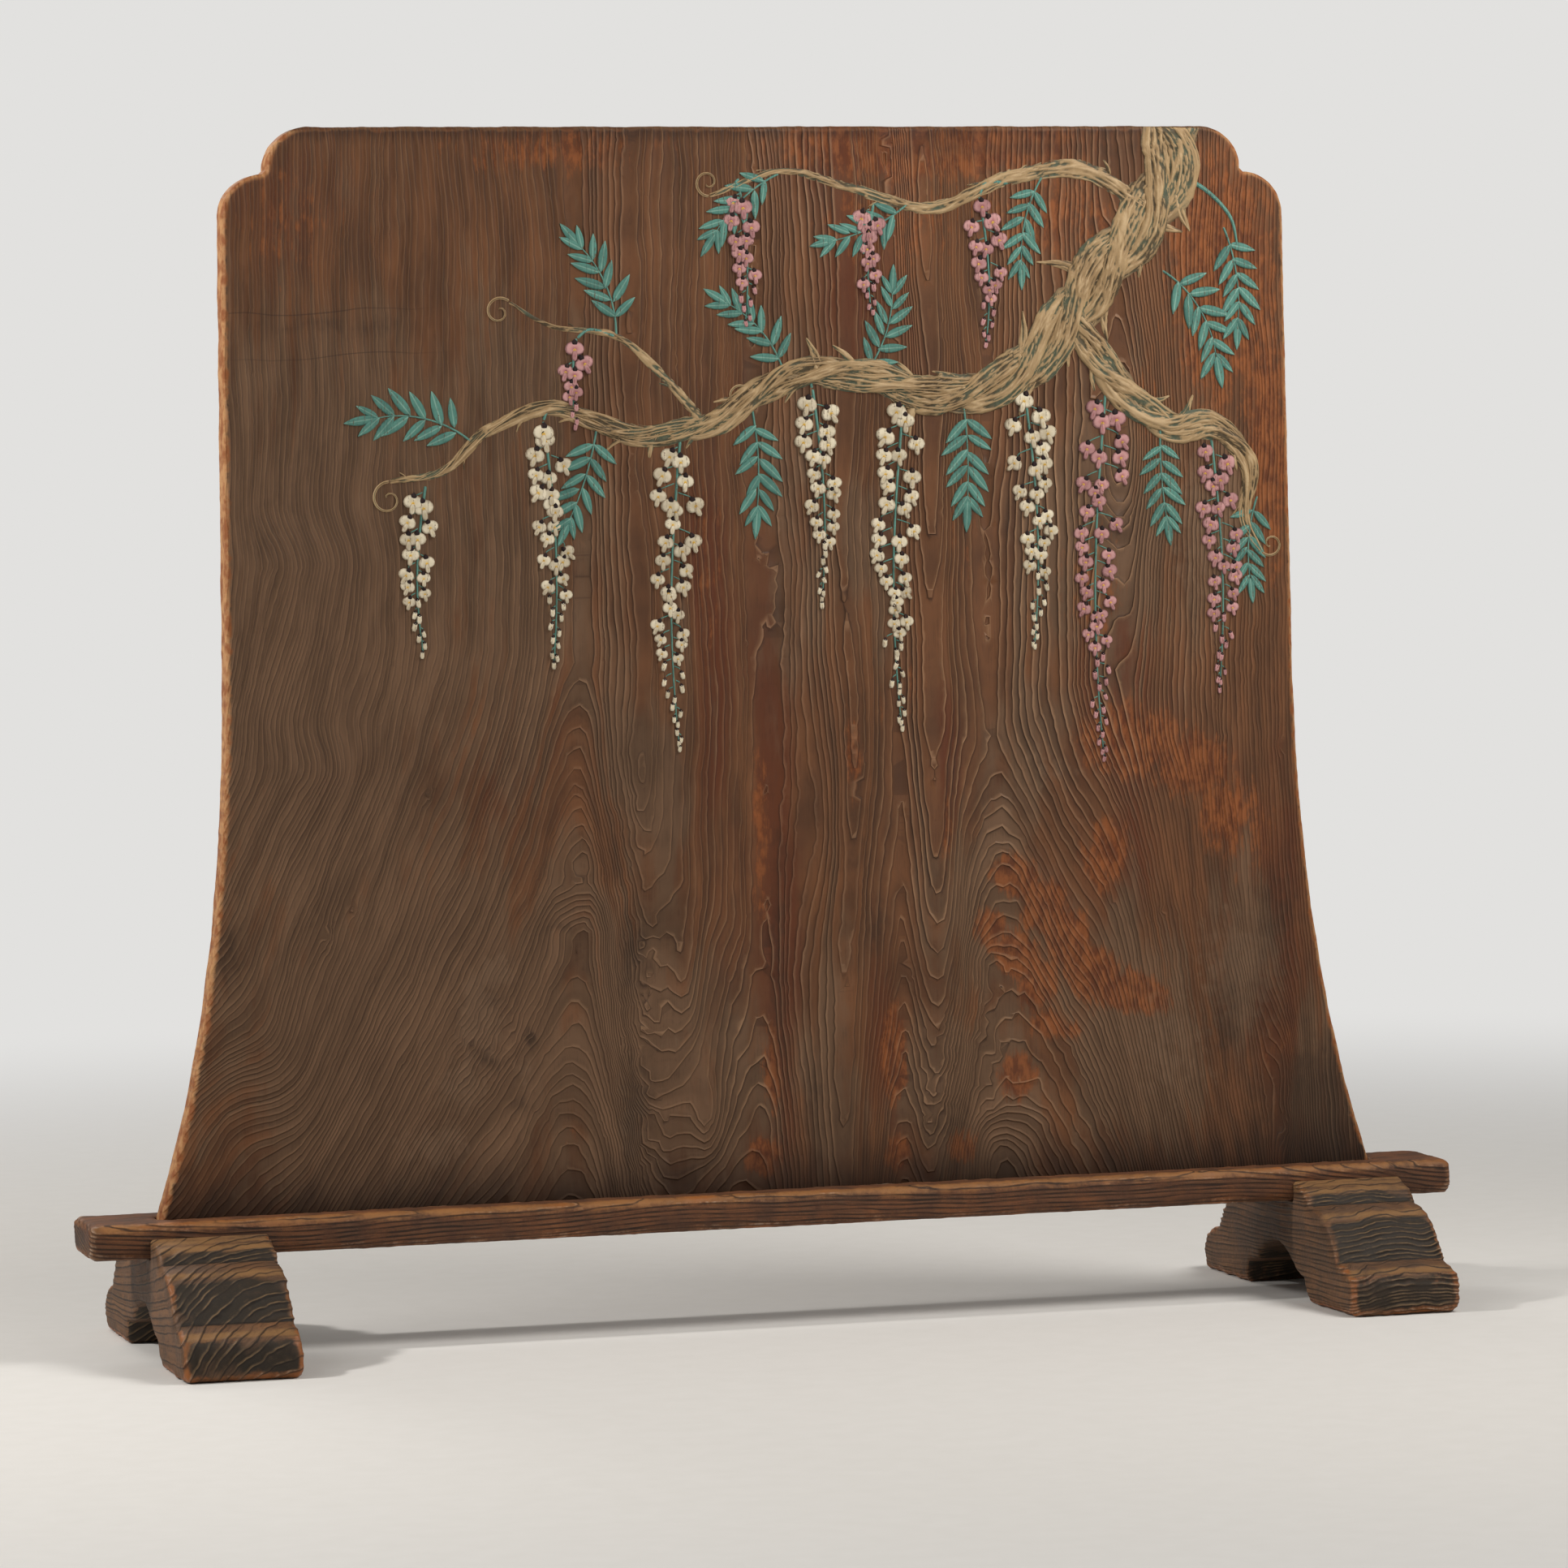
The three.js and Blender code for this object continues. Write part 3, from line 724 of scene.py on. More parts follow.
def rail_piece():
    piece = even_copy("rail", "grooved_rail", RAIL_VOXEL)
    weather(piece, rail_rings, 0.8, 12, 0.9, 0, RAIL_LIPS, np.ones(len(piece.data.vertices)))
    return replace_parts(piece, "rail")


# Materials

def add_node(tree, kind, inputs=(), output=0, **settings):
    """Adds a node with its settings, fills its inputs with values, hex colours or links, and gives an output."""
    node = tree.nodes.new("ShaderNode" + kind)
    for name, value in settings.items():
        setattr(node, name, value)
    for name, value in inputs.items() if isinstance(inputs, dict) else enumerate(inputs):
        socket = node.inputs[name]
        if isinstance(value, bpy.types.NodeSocket):
            tree.links.new(value, socket)
        else:
            socket.default_value = linear(value) if isinstance(value, str) else value
    return node.outputs[output] if node.outputs else node


def start_finish(name):
    """A new material without nodes, and the way to add nodes to it."""
    material = bpy.data.materials.new(name)
    material.use_nodes = True
    material.node_tree.nodes.clear()
    return material, partial(add_node, material.node_tree)


EASED = {"interpolation_type": "SMOOTHSTEP"}
COLOUR = {"data_type": "RGBA"}


def brushed_cedar():
    """Old cedar, its soft wood brushed away: fine raised ridges on brown, dusty grey, red and rubbed orange."""
    material, add = start_finish("brushed_cedar")
    place = add("TexCoord", output=3)
    in_mm = add("VectorMath", (place, (1000, 1000, 1000)), operation="MULTIPLY")
    x, z = (add("SeparateXYZ", (in_mm,), output=axis) for axis in (0, 2))
    ring, gap, gloss_and_highlight, grey, red, worn, stained, smooth, pale, from_rim = (
        add("Attribute", output=2, attribute_name=note)
        for note in ("ring", "gap", "gloss_and_highlight", "grey", "red", "worn", "stained", "smooth", "pale", "from_rim")
    )
    fraction = add("Math", (ring,), operation="FRACT")
    past = add("Math", (add("Math", (fraction, 0.5), operation="SUBTRACT"), gap), operation="MULTIPLY")
    year = add("Math", (ring, 0.5), operation="ADD")
    year = add("TexWhiteNoise", {"W": add("Math", (year,), operation="FLOOR")}, noise_dimensions="1D")

    # fibres follow the rings: fine ones about 1 mm apart, drawn twice as coarse, and streaks 5 mm apart
    along = add("CombineXYZ", (ring, 0.0, z))
    fibres = add("TexNoise", {
        "Vector": add("VectorMath", (along, (3.0, 1.0, 1 / 30)), operation="MULTIPLY"),
        "Scale": 1.0, "Detail": 3.0, "Roughness": 0.65,
    })
    streaks = add("TexNoise", {
        "Vector": add("VectorMath", (along, (0.3, 1.0, 1 / 140)), operation="MULTIPLY"),
        "Scale": 1.0, "Detail": 3.0, "Roughness": 0.6,
    })
    bristles = add("TexNoise", {
        "Vector": add("VectorMath", (in_mm, (1 / 1.8, 1 / 1.8, 1 / 38)), operation="MULTIPLY"),
        "Scale": 1.0, "Detail": 2.0, "Roughness": 0.6,
    })
    strokes = add("TexNoise", {
        "Vector": add("VectorMath", (in_mm, (1 / 7, 1 / 7, 1 / 18)), operation="MULTIPLY"),
        "Scale": 1.0, "Detail": 4.0, "Roughness": 0.6,
    })
    blotches = add("TexNoise", {
        "Vector": add("VectorMath", (in_mm, (1 / 30, 1 / 30, 1 / 130)), operation="MULTIPLY"),
        "Scale": 1.0, "Detail": 4.0, "Roughness": 0.6,
    })
    clouds = add("TexNoise", {"Vector": in_mm, "Scale": 1 / 90, "Detail": 4.0, "Roughness": 0.55})
    knocks = add("TexNoise", {"Vector": in_mm, "Scale": 1 / 14, "Detail": 3.0, "Roughness": 0.6})

    # how polished the face is: it lowers the roughness, raises the ridges, and strengthens the painted highlight on the
    # crests and the painted shade at their feet
    polish_and_highlight = add("MapRange", (add("Math", (clouds, 0.5, gloss_and_highlight), operation="MULTIPLY_ADD"), 0.2, 1.15), **EASED)
    brown = add("Mix", {0: add("MapRange", (streaks, 0.3, 0.72), **EASED), 6: "#50331f", 7: "#734a2d"}, 2, **COLOUR)
    reds = add("Math", (add("Math", (blotches, 0.5), operation="SUBTRACT"), 1.6, red), operation="MULTIPLY_ADD")
    reds = add("MapRange", (reds, 0.1, 0.9, 0.0, 0.85), **EASED)
    brown = add("Mix", {0: reds, 6: brown, 7: "#5c2d15"}, 2, **COLOUR)
    dusty = add("Mix", {0: add("MapRange", (streaks, 0.3, 0.7), **EASED), 6: "#58412e", 7: "#715640"}, 2, **COLOUR)
    dust = add("Math", (blotches, 1.3, grey), operation="MULTIPLY_ADD")
    dust = add("Math", (year, 0.25, dust), operation="MULTIPLY_ADD")
    dust = add("MapRange", (dust, 1.0, 1.45, 0.0, 0.92), **EASED)
    colour = add("Mix", {0: dust, 6: brown, 7: dusty}, 2, **COLOUR)
    bright = add("Mix", {0: add("MapRange", (strokes, 0.35, 0.65), **EASED), 6: "#602d10", 7: "#915227"}, 2, **COLOUR)
    rubbed = add("Math", (worn, 1.6, add("Math", (strokes, 0.9), operation="MULTIPLY")), operation="MULTIPLY_ADD")
    rubbed = add("Math", (year, 0.3, rubbed), operation="MULTIPLY_ADD")
    rubbed = add("Math", (bristles, 0.7, rubbed), operation="MULTIPLY_ADD")
    rubbed = add("MapRange", (rubbed, 1.42, 1.85, 0.0, 0.82), **EASED)
    colour = add("Mix", {0: rubbed, 6: colour, 7: bright}, 2, **COLOUR)
    bared = add("Math", (pale, 1.2, add("Math", (knocks, strokes), operation="ADD")), operation="MULTIPLY_ADD")
    bared = add("MapRange", (bared, 1.3, 1.75, 0.0, 0.5), **EASED)
    colour = add("Mix", {0: bared, 6: colour, 7: "#785f4a"}, 2, **COLOUR)
    fine = add("Math", (fibres, bristles), operation="MULTIPLY")
    colour = add("Mix", {0: add("MapRange", (fine, 0.24, 0.42, 0.0, 0.22), **EASED), 6: colour, 7: "#2c1a11"}, 2, **COLOUR)
    colour = add("Mix", {0: add("Math", (year, 0.16), operation="MULTIPLY"), 6: colour, 7: "#38240f"}, 2, **COLOUR)
    grime = add("Math", (strokes, 0.7, stained), operation="MULTIPLY_ADD")
    grime = add("Math", (clouds, 0.8, grime), operation="MULTIPLY_ADD")
    grime = add("MapRange", (grime, 0.85, 1.5, 0.0, 0.7), **EASED)
    colour = add("Mix", {0: grime, 6: colour, 7: "#2e2015"}, 2, **COLOUR)

    # painted highlight: each ridge is painted bright at its crest, fading outward; painted shade darkens the wood at
    # its steep foot
    clear = add("MapRange", (add("Math", (year, 0.6, blotches), operation="MULTIPLY_ADD"), 0.4, 1.05, 0.45, 1.0))
    clear = add("Math", (clear, add("MapRange", (smooth, 0.0, 1.0, 1.0, 0.35))), operation="MULTIPLY")
    half_gap = add("Math", (gap, 0.5), operation="MULTIPLY")
    out = add("Math", (past, add("Math", (half_gap, 5.0), operation="MINIMUM")), operation="DIVIDE")
    out = add("MapRange", (out, 0.0, 1.0, 1.0, 0.0))
    crest = add("Math", (out, add("MapRange", (past, -0.5, 0.4), **EASED)), operation="MULTIPLY")
    crest = add("Math", (crest, add("MapRange", (polish_and_highlight, 0.0, 1.0, 2.4, 2.2))), operation="POWER")
    crest = add("Math", (crest, add("MapRange", (fibres, 0.3, 0.8, 1.0, 0.7), **EASED)), operation="MULTIPLY")
    crest = add("Math", (crest, clear), operation="MULTIPLY")
    painted_crest_highlight = add("Math", (crest, add("MapRange", (polish_and_highlight, 0.0, 1.0, 0.4, 0.95))), operation="MULTIPLY")
    reach = add("Math", (half_gap, add("MapRange", (polish_and_highlight, 0.0, 1.0, 2.4, 3.8))), operation="MINIMUM")
    under = add("Math", (past, add("Math", (reach, -1.0), operation="MULTIPLY")), operation="DIVIDE")
    under = add("MapRange", (under, 0.0, 1.0, 1.0, 0.0))
    under = add("Math", (under, add("MapRange", (past, -0.7, 0.1, 1.0, 0.0), **EASED)), operation="MULTIPLY")
    under = add("Math", (under, clear), operation="MULTIPLY")
    under = add("Math", (under, add("MapRange", (polish_and_highlight, 0.0, 1.0, 0.85, 0.9))), operation="MULTIPLY")
    # painted highlight on the crests, then painted shade at the ridges' steep feet
    colour = add("Mix", {0: painted_crest_highlight, 6: colour, 7: "#a98464"}, 2, **COLOUR)
    colour = add("Mix", {0: under, 6: colour, 7: "#2f1d12"}, 2, **COLOUR)

    # old scratches across the upper left
    wander = add("TexNoise", {"Vector": in_mm, "Scale": 1 / 160, "Detail": 2.0})
    level = add("Math", (wander, 34.0, z), operation="MULTIPLY_ADD")
    level = add("Math", (add("Math", (x, -0.05, level), operation="MULTIPLY_ADD"), 26.0), operation="PINGPONG")
    scratch = add("MapRange", (level, 0.3, 1.1, 0.5, 0.0))
    zone = add("VectorMath", (in_mm, (-520.0, 0.0, 1128.0)), operation="SUBTRACT")
    zone = add("VectorMath", (zone, (1 / 170, 0.0, 1 / 34)), operation="MULTIPLY")
    zone = add("MapRange", (add("VectorMath", (zone,), 1, operation="LENGTH"), 0.7, 1.2, 1.0, 0.0), **EASED)
    scratch = add("Math", (scratch, zone), operation="MULTIPLY")
    colour = add("Mix", {0: scratch, 6: colour, 7: "#2c1c12"}, 2, **COLOUR)

    # darker above the rail: soot, together with painted shade where the board meets the rail; soot along the top edge,
    # and knocks have bared the rim
    low = add("MapRange", (add("Math", (blotches, 60.0, z), operation="MULTIPLY_ADD"), 172.0, 255.0, 0.72, 0.0), **EASED)
    colour = add("Mix", {0: low, 6: colour, 7: "#1d130e"}, 2, **COLOUR)
    high = add("Math", (fibres, 40.0, z), operation="MULTIPLY_ADD")
    high = add("MapRange", (high, 1354.0, 1376.0, 0.0, 0.7), **EASED)
    colour = add("Mix", {0: high, 6: colour, 7: "#241610"}, 2, **COLOUR)
    bare = add("Math", (knocks, 12.0, from_rim), operation="MULTIPLY_ADD")
    bare = add("MapRange", (bare, 8.5, 13.0, 0.85, 0.0), **EASED)
    bare = add("Math", (bare, add("MapRange", (z, 1346.0, 1352.0, 1.0, 0.2), **EASED)), operation="MULTIPLY")
    knocked = add("Mix", {0: add("MapRange", (knocks, 0.35, 0.65), **EASED), 6: "#8a5028", 7: "#b98a5c"}, 2, **COLOUR)
    colour = add("Mix", {0: bare, 6: colour, 7: knocked}, 2, **COLOUR)

    rise = add("MapRange", (past, -1.4, 0.0), **EASED)
    fall = add("MapRange", (past, 0.0, 3.0, 0.8, 0.0), **EASED)
    ridge = add("Math", (rise, fall), operation="MULTIPLY")
    ridge = add("Math", (ridge, add("MapRange", (polish_and_highlight, 0.0, 1.0, 0.75, 1.1))), operation="MULTIPLY")
    height = add("Math", (fibres, 0.1, ridge), operation="MULTIPLY_ADD")
    add("OutputMaterial", {"Surface": add("BsdfPrincipled", {
        "Base Color": colour,
        "Roughness": add("MapRange", (polish_and_highlight, 0.0, 1.0, 0.64, 0.46)),
        "IOR": 1.45,
        "Specular IOR Level": 0.3,
        "Normal": add("Bump", {"Height": height, "Distance": MM}),
    })})
    return material


def seasoned_cedar(name, shade):
    """Plain cedar for parts that hardly show: brown, with darker lines along it."""
    material, add = start_finish(name)
    stretched = add("VectorMath", (add("TexCoord", output=3), (4.0, 160.0, 160.0)), operation="MULTIPLY")
    lines = add("TexNoise", {"Vector": stretched, "Scale": 1.0, "Detail": 3.0, "Roughness": 0.6})
    colour = add("Mix", {0: add("MapRange", (lines, 0.35, 0.65), **EASED), 6: shade, 7: "#7a4526"}, 2, **COLOUR)
    add("OutputMaterial", {"Surface": add("BsdfPrincipled", {
        "Base Color": colour,
        "Roughness": 0.6,
        "IOR": 1.5,
        "Normal": add("Bump", {"Height": lines, "Distance": 0.4 * MM}),
    })})
    return material


def weathered_cedar(name, wood, streak, soot, ridge, handled, sooty):
    """Cedar that has stood on damp floors: soft wood gone, ends black with soot, lips and arrises rubbed bare."""
    material, add = start_finish(name)
    place = add("TexCoord", output=3)
    in_mm = add("VectorMath", (place, (1000, 1000, 1000)), operation="MULTIPLY")
    ring, gap, arris, end_grain, proud, lip = (
        add("Attribute", output=2, attribute_name=note) for note in ("ring", "gap", "arris", "end_grain", "proud", "lip")
    )
    past = add("Math", (add("Math", (ring,), operation="FRACT"), 0.5), operation="SUBTRACT")
    past = add("Math", (past, gap), operation="MULTIPLY")
    year = add("Math", (ring, 0.5), operation="ADD")
    year = add("TexWhiteNoise", {"W": add("Math", (year,), operation="FLOOR")}, noise_dimensions="1D")
    blotches = add("TexNoise", {"Vector": in_mm, "Scale": 1 / 38, "Detail": 4.0, "Roughness": 0.6})
    patches = add("TexNoise", {"Vector": in_mm, "Scale": 1 / 60, "Detail": 3.0, "Roughness": 0.5})
    knocks = add("TexNoise", {"Vector": in_mm, "Scale": 1 / 7, "Detail": 3.0, "Roughness": 0.65})
    along = add("CombineXYZ", (ring, 0.0, blotches))
    along = add("VectorMath", (along, (4.0, 1.0, 5.0)), operation="MULTIPLY")
    fibres = add("TexNoise", {"Vector": along, "Scale": 1.0, "Detail": 3.0, "Roughness": 0.65})

    colour = add("Mix", {0: add("MapRange", (blotches, 0.35, 0.65), **EASED), 6: wood, 7: streak}, 2, **COLOUR)
    colour = add("Mix", {0: add("MapRange", (fibres, 0.4, 0.72, 0.0, 0.6), **EASED), 6: colour, 7: "#24160e"}, 2, **COLOUR)
    colour = add("Mix", {0: add("Math", (year, 0.4), operation="MULTIPLY"), 6: colour, 7: "#2e1d12"}, 2, **COLOUR)
    # tan on the handled lips; on the feet's top by the rail it is also painted light from above
    tan = add("Math", (knocks, 1.0, lip), operation="MULTIPLY_ADD")
    tan = add("Math", (blotches, 1.6, tan), operation="MULTIPLY_ADD")
    tan = add("MapRange", (tan, 1.5, 2.4, 0.0, 0.85), **EASED)
    colour = add("Mix", {0: tan, 6: colour, 7: handled}, 2, **COLOUR)
    black = add("Math", (blotches, 1.2, end_grain), operation="MULTIPLY_ADD")
    black = add("Math", (patches, 1.0, black), operation="MULTIPLY_ADD")
    black = add("Math", (arris, -0.35, black), operation="MULTIPLY_ADD")
    black = add("Math", (lip, -0.6, black), operation="MULTIPLY_ADD")
    black = add("MapRange", (black, 1.64, 2.02, 0.0, sooty), **EASED)
    colour = add("Mix", {0: black, 6: colour, 7: soot}, 2, **COLOUR)

    smeared = add("Math", (fibres, 0.8, add("Math", (knocks, 0.5), operation="MULTIPLY")), operation="MULTIPLY_ADD")
    smeared = add("MapRange", (smeared, 0.66, 0.88, 0.0, 0.35), **EASED)
    colour = add("Mix", {0: smeared, 6: colour, 7: "#54412d"}, 2, **COLOUR)

    # each ridge is a thin handled crest with a dark line at its foot; many are rubbed faint
    faint = add("Math", (knocks, add("MapRange", (year, 0.0, 1.0, 0.7, 1.5))), operation="MULTIPLY")
    faint = add("Math", (faint, proud), operation="ADD")
    crest = add("MapRange", (past, 0.2, 2.6, 0.8, 0.0))
    crest = add("Math", (crest, add("MapRange", (past, -0.6, 0.3), **EASED)), operation="MULTIPLY")
    crest = add("Math", (crest, add("MapRange", (faint, 0.75, 1.6, 0.05, 1.0))), operation="MULTIPLY")
    to_foot = add("Math", (add("Math", (past, 1.3), operation="ADD"),), operation="ABSOLUTE")
    foot = add("MapRange", (to_foot, 0.2, 1.5, 0.85, 0.0), **EASED)
    foot = add("Math", (foot, add("MapRange", (faint, 0.5, 1.2, 0.4, 1.0))), operation="MULTIPLY")
    on_end = add("MapRange", (black, 0.0, 0.8, 0.25, 1.0))
    colour = add("Mix", {0: add("Math", (crest, on_end), operation="MULTIPLY"), 6: colour, 7: ridge}, 2, **COLOUR)
    colour = add("Mix", {0: foot, 6: colour, 7: "#1a100a"}, 2, **COLOUR)

    # arrises: smoky brown for most of their length, bare orange wood in patches, a few pale painted glints on the
    # crests
    bare = add("Math", (knocks, 1.1, arris), operation="MULTIPLY_ADD")
    bare = add("Math", (patches, 2.0, bare), operation="MULTIPLY_ADD")
    low = add("MapRange", (add("SeparateXYZ", (in_mm,), output=2), 10.0, 70.0, 0.4, 0.0))
    bare = add("MapRange", (add("Math", (bare, low), operation="ADD"), 2.25, 3.0, 0.0, 0.8), **EASED)
    bare = add("Math", (bare, add("MapRange", (to_foot, 0.4, 2.4, 0.3, 1.0), **EASED)), operation="MULTIPLY")
    golden = add("MapRange", (add("Math", (patches, low), operation="ADD"), 0.45, 0.7), **EASED)
    rubbed = add("Mix", {0: golden, 6: "#6f4c2e", 7: "#96592a"}, 2, **COLOUR)
    painted_glint = add("Math", (add("MapRange", (knocks, 0.38, 0.6), **EASED), crest), operation="MULTIPLY")
    rubbed = add("Mix", {0: painted_glint, 6: rubbed, 7: "#c2b09b"}, 2, **COLOUR)
    colour = add("Mix", {0: bare, 6: colour, 7: rubbed}, 2, **COLOUR)
    # painted shade: darker in the hollow corners, where the surface bends inward
    deep = add("MapRange", (arris, -1.2, -0.2, 0.7, 0.0), **EASED)
    colour = add("Mix", {0: deep, 6: colour, 7: "#120b07"}, 2, **COLOUR)

    ridge_height = add("Math", (crest, 0.6), operation="MULTIPLY")
    height = add("Math", (fibres, 0.35, ridge_height), operation="MULTIPLY_ADD")
    height = add("Math", (knocks, 0.5, height), operation="MULTIPLY_ADD")
    add("OutputMaterial", {"Surface": add("BsdfPrincipled", {
        "Base Color": colour,
        "Roughness": add("MapRange", (bare, 0.0, 1.0, 0.66, 0.4)),
        "IOR": 1.45,
        "Specular IOR Level": 0.4,
        "Normal": add("Bump", {"Height": height, "Distance": MM}),
    })})
    return material


def carved_bark():
    """Cedar carved with a knife and painted tan: smooth pale crests, brown between them, a breath of green."""
    material, add = start_finish("carved_bark")
    place = add("TexCoord", output=3)
    crest, over = (add("Attribute", output=2, attribute_name=name) for name in ("crest", "over"))
    grit = add("TexNoise", {"Vector": place, "Scale": 260.0, "Detail": 3.0, "Roughness": 0.6})
    blotches = add("TexNoise", {"Vector": place, "Scale": 18.0, "Detail": 3.0, "Roughness": 0.6})
    hollow = add("Mix", {0: add("MapRange", (blotches, 0.45, 0.6), **EASED), 6: "#443722", 7: "#46503f"}, 2, **COLOUR)
    paint = add("Mix", {0: add("MapRange", (blotches, 0.3, 0.7), **EASED), 6: "#8f7450", 7: "#a88d66"}, 2, **COLOUR)
    high = add("Math", (grit, 0.4, crest), operation="MULTIPLY_ADD")
    colour = add("Mix", {0: add("MapRange", (high, 0.15, 0.6), **EASED), 6: hollow, 7: paint}, 2, **COLOUR)
    handled = add("MapRange", (high, 0.7, 1.15, 0.0, 0.7), **EASED)
    colour = add("Mix", {0: handled, 6: colour, 7: "#c0a680"}, 2, **COLOUR)
    # painted shade: darker along each strand's sides and where it passes under another
    colour = add("Mix", {0: add("MapRange", (over, 0.05, 0.4, 0.75, 0.0), **EASED), 6: colour, 7: "#3c2e1e"}, 2, **COLOUR)
    add("OutputMaterial", {"Surface": add("BsdfPrincipled", {
        "Base Color": colour,
        "Roughness": 0.6,
        "IOR": 1.45,
        "Specular IOR Level": 0.4,
        "Normal": add("Bump", {"Height": grit, "Distance": 0.3 * MM}),
    })})
    return material


def mineral_paint(name, middle, shade, edge, middle_reach):
    """Ground mineral in glue, brushed on thin: matt, cloudy, inked round the edge, the wood's ridges felt under it."""
    material, add = start_finish(name)
    place = add("TexCoord", output=3)
    ring, gap, out, chance = (
        add("Attribute", output=2, attribute_name=each) for each in ("ring", "gap", "out", "chance")
    )
    past = add("Math", (add("Math", (ring,), operation="FRACT"), 0.5), operation="SUBTRACT")
    past = add("Math", (past, gap), operation="MULTIPLY")
    brushed = add("TexNoise", {"Vector": place, "Scale": 70.0, "Detail": 4.0, "Roughness": 0.65})
    chips = add("TexNoise", {"Vector": place, "Scale": 340.0, "Detail": 3.0, "Roughness": 0.7})
    inner = add("MapRange", (out, 0.0, middle_reach, 0.9, 0.0), **EASED)
    colour = add("Mix", {0: inner, 6: shade, 7: middle}, 2, **COLOUR)
    rim = add("Math", (brushed, 0.3, out), operation="MULTIPLY_ADD")
    colour = add("Mix", {0: add("MapRange", (rim, 0.8, 1.2, 0.0, 0.85), **EASED), 6: colour, 7: edge}, 2, **COLOUR)
    thin = add("Math", (chance, 0.3, brushed), operation="MULTIPLY_ADD")
    colour = add("Mix", {0: add("MapRange", (thin, 0.45, 0.95, 0.0, 0.5), **EASED), 6: colour, 7: edge}, 2, **COLOUR)
    crest = add("Math", (add("Math", (past, 0.3), operation="SUBTRACT"),), operation="ABSOLUTE")
    crest = add("MapRange", (crest, 0.3, 1.2, 0.22, 0.0), **EASED)
    bare = add("Math", (chips, crest), operation="ADD")
    colour = add("Mix", {0: add("MapRange", (bare, 0.7, 0.84, 0.0, 0.7), **EASED), 6: colour, 7: "#5d4231"}, 2, **COLOUR)
    height = add("Math", (crest, 3.0, brushed), operation="MULTIPLY_ADD")
    add("OutputMaterial", {"Surface": add("BsdfPrincipled", {
        "Base Color": colour,
        "Roughness": 0.75,
        "IOR": 1.45,
        "Specular IOR Level": 0.3,
        "Normal": add("Bump", {"Height": height, "Distance": 0.4 * MM}),
    })})
    return material


# Floor, light and camera

def pale_floor():
    """A matt floor that fades into the backdrop, so that no edge of it shows."""
    material, add = start_finish("pale_floor")
    place = add("TexCoord", output=3)
    speckle = add("TexNoise", {"Vector": place, "Scale": 30.0, "Detail": 2.0})
    colour = add("Mix", {0: speckle, 6: "#dddcd9", 7: "#e3e2e0"}, 2, **COLOUR)
    matt = add("BsdfPrincipled", {"Base Color": colour, "Roughness": 0.9})
    haze = add("Emission", {"Color": BACKDROP, "Strength": 1.0})
    away = add("VectorMath", (place,), 1, operation="LENGTH")
    away = add("MapRange", (away, 1.0, 4.2), **EASED)
    add("OutputMaterial", {"Surface": add("MixShader", (away, matt, haze))})
    return material


def pale_backdrop():
    """An even light from all round that the camera sees as the backdrop's colour."""
    world = bpy.data.worlds.new("studio")
    bpy.context.scene.world = world
    world.use_nodes = True
    world.node_tree.nodes.clear()
    add = partial(add_node, world.node_tree)
    seen = add("Background", {"Color": BACKDROP, "Strength": 1.0})
    light = add("Background", {"Color": "#ece8e2", "Strength": WORLD_LIGHT})
    add("OutputWorld", {"Surface": add("MixShader", (add("LightPath"), light, seen))})


def floor_and_light():
    bpy.ops.mesh.primitive_plane_add(size=60, location=(0, 0, 0))
    floor = bpy.context.object
    floor.name = "floor"
    floor.data.materials.append(pale_floor())
    pale_backdrop()
    for name, place, size, power in LAMPS:
        lamp = bpy.data.lights.new(name, "AREA")
        lamp.shape, lamp.size, lamp.energy, lamp.color = "DISK", size, power, LAMP_COLOUR
        stand = bpy.data.objects.new(name, lamp)
        bpy.context.scene.collection.objects.link(stand)
        stand.location, stand.visible_camera = place, False
        stand.rotation_euler = (Vector((0, 0, 0.7)) - Vector(place)).to_track_quat("-Z", "Y").to_euler()


def add_camera():
    camera = bpy.data.cameras.new("camera")
    camera.lens, camera.sensor_width, camera.clip_end = CAMERA_LENS, 36.0, 100.0
    stand = bpy.data.objects.new("camera", camera)
    bpy.context.scene.collection.objects.link(stand)
    level = Matrix.Rotation(-CAMERA_YAW, 4, "Z") @ Matrix.Rotation(math.pi / 2 - CAMERA_PITCH, 4, "X")
    stand.matrix_world = Matrix.Translation(CAMERA_PLACE) @ level @ Matrix.Rotation(CAMERA_ROLL, 4, "Z")
    bpy.context.scene.camera = stand


# Painted relief on the board: a wisteria, in mm on the face

def smooth_path(points, step):
    """A smooth way through points (across, up, width), read at even steps, with the direction to its left."""
    points = np.array(points, float)
    padded = np.concatenate([2 * points[:1] - points[1:2], points, 2 * points[-1:] - points[-2:-1]])
    t = np.linspace(0, 1, 20, endpoint=False)[:, None]
    dense = []
    for a, b, c, d in zip(padded, padded[1:], padded[2:], padded[3:]):
        bend = (2 * a - 5 * b + 4 * c - d) * t**2 + (3 * b - a - 3 * c + d) * t**3
        dense.append(0.5 * (2 * b + (c - a) * t + bend))
    dense = np.concatenate(dense + [points[-1:]])
    run = np.concatenate([[0], np.cumsum(np.hypot(*np.diff(dense[:, :2], axis=0).T))])
    even = np.linspace(0, run[-1], max(4, round(run[-1] / step) + 1))
    way = np.stack([np.interp(even, run, dense[:, k]) for k in range(3)], 1)
    along = np.gradient(way[:, :2], axis=0)
    along /= np.hypot(*along.T)[:, None]
    return even, way, np.stack([-along[:, 1], along[:, 0]], 1)


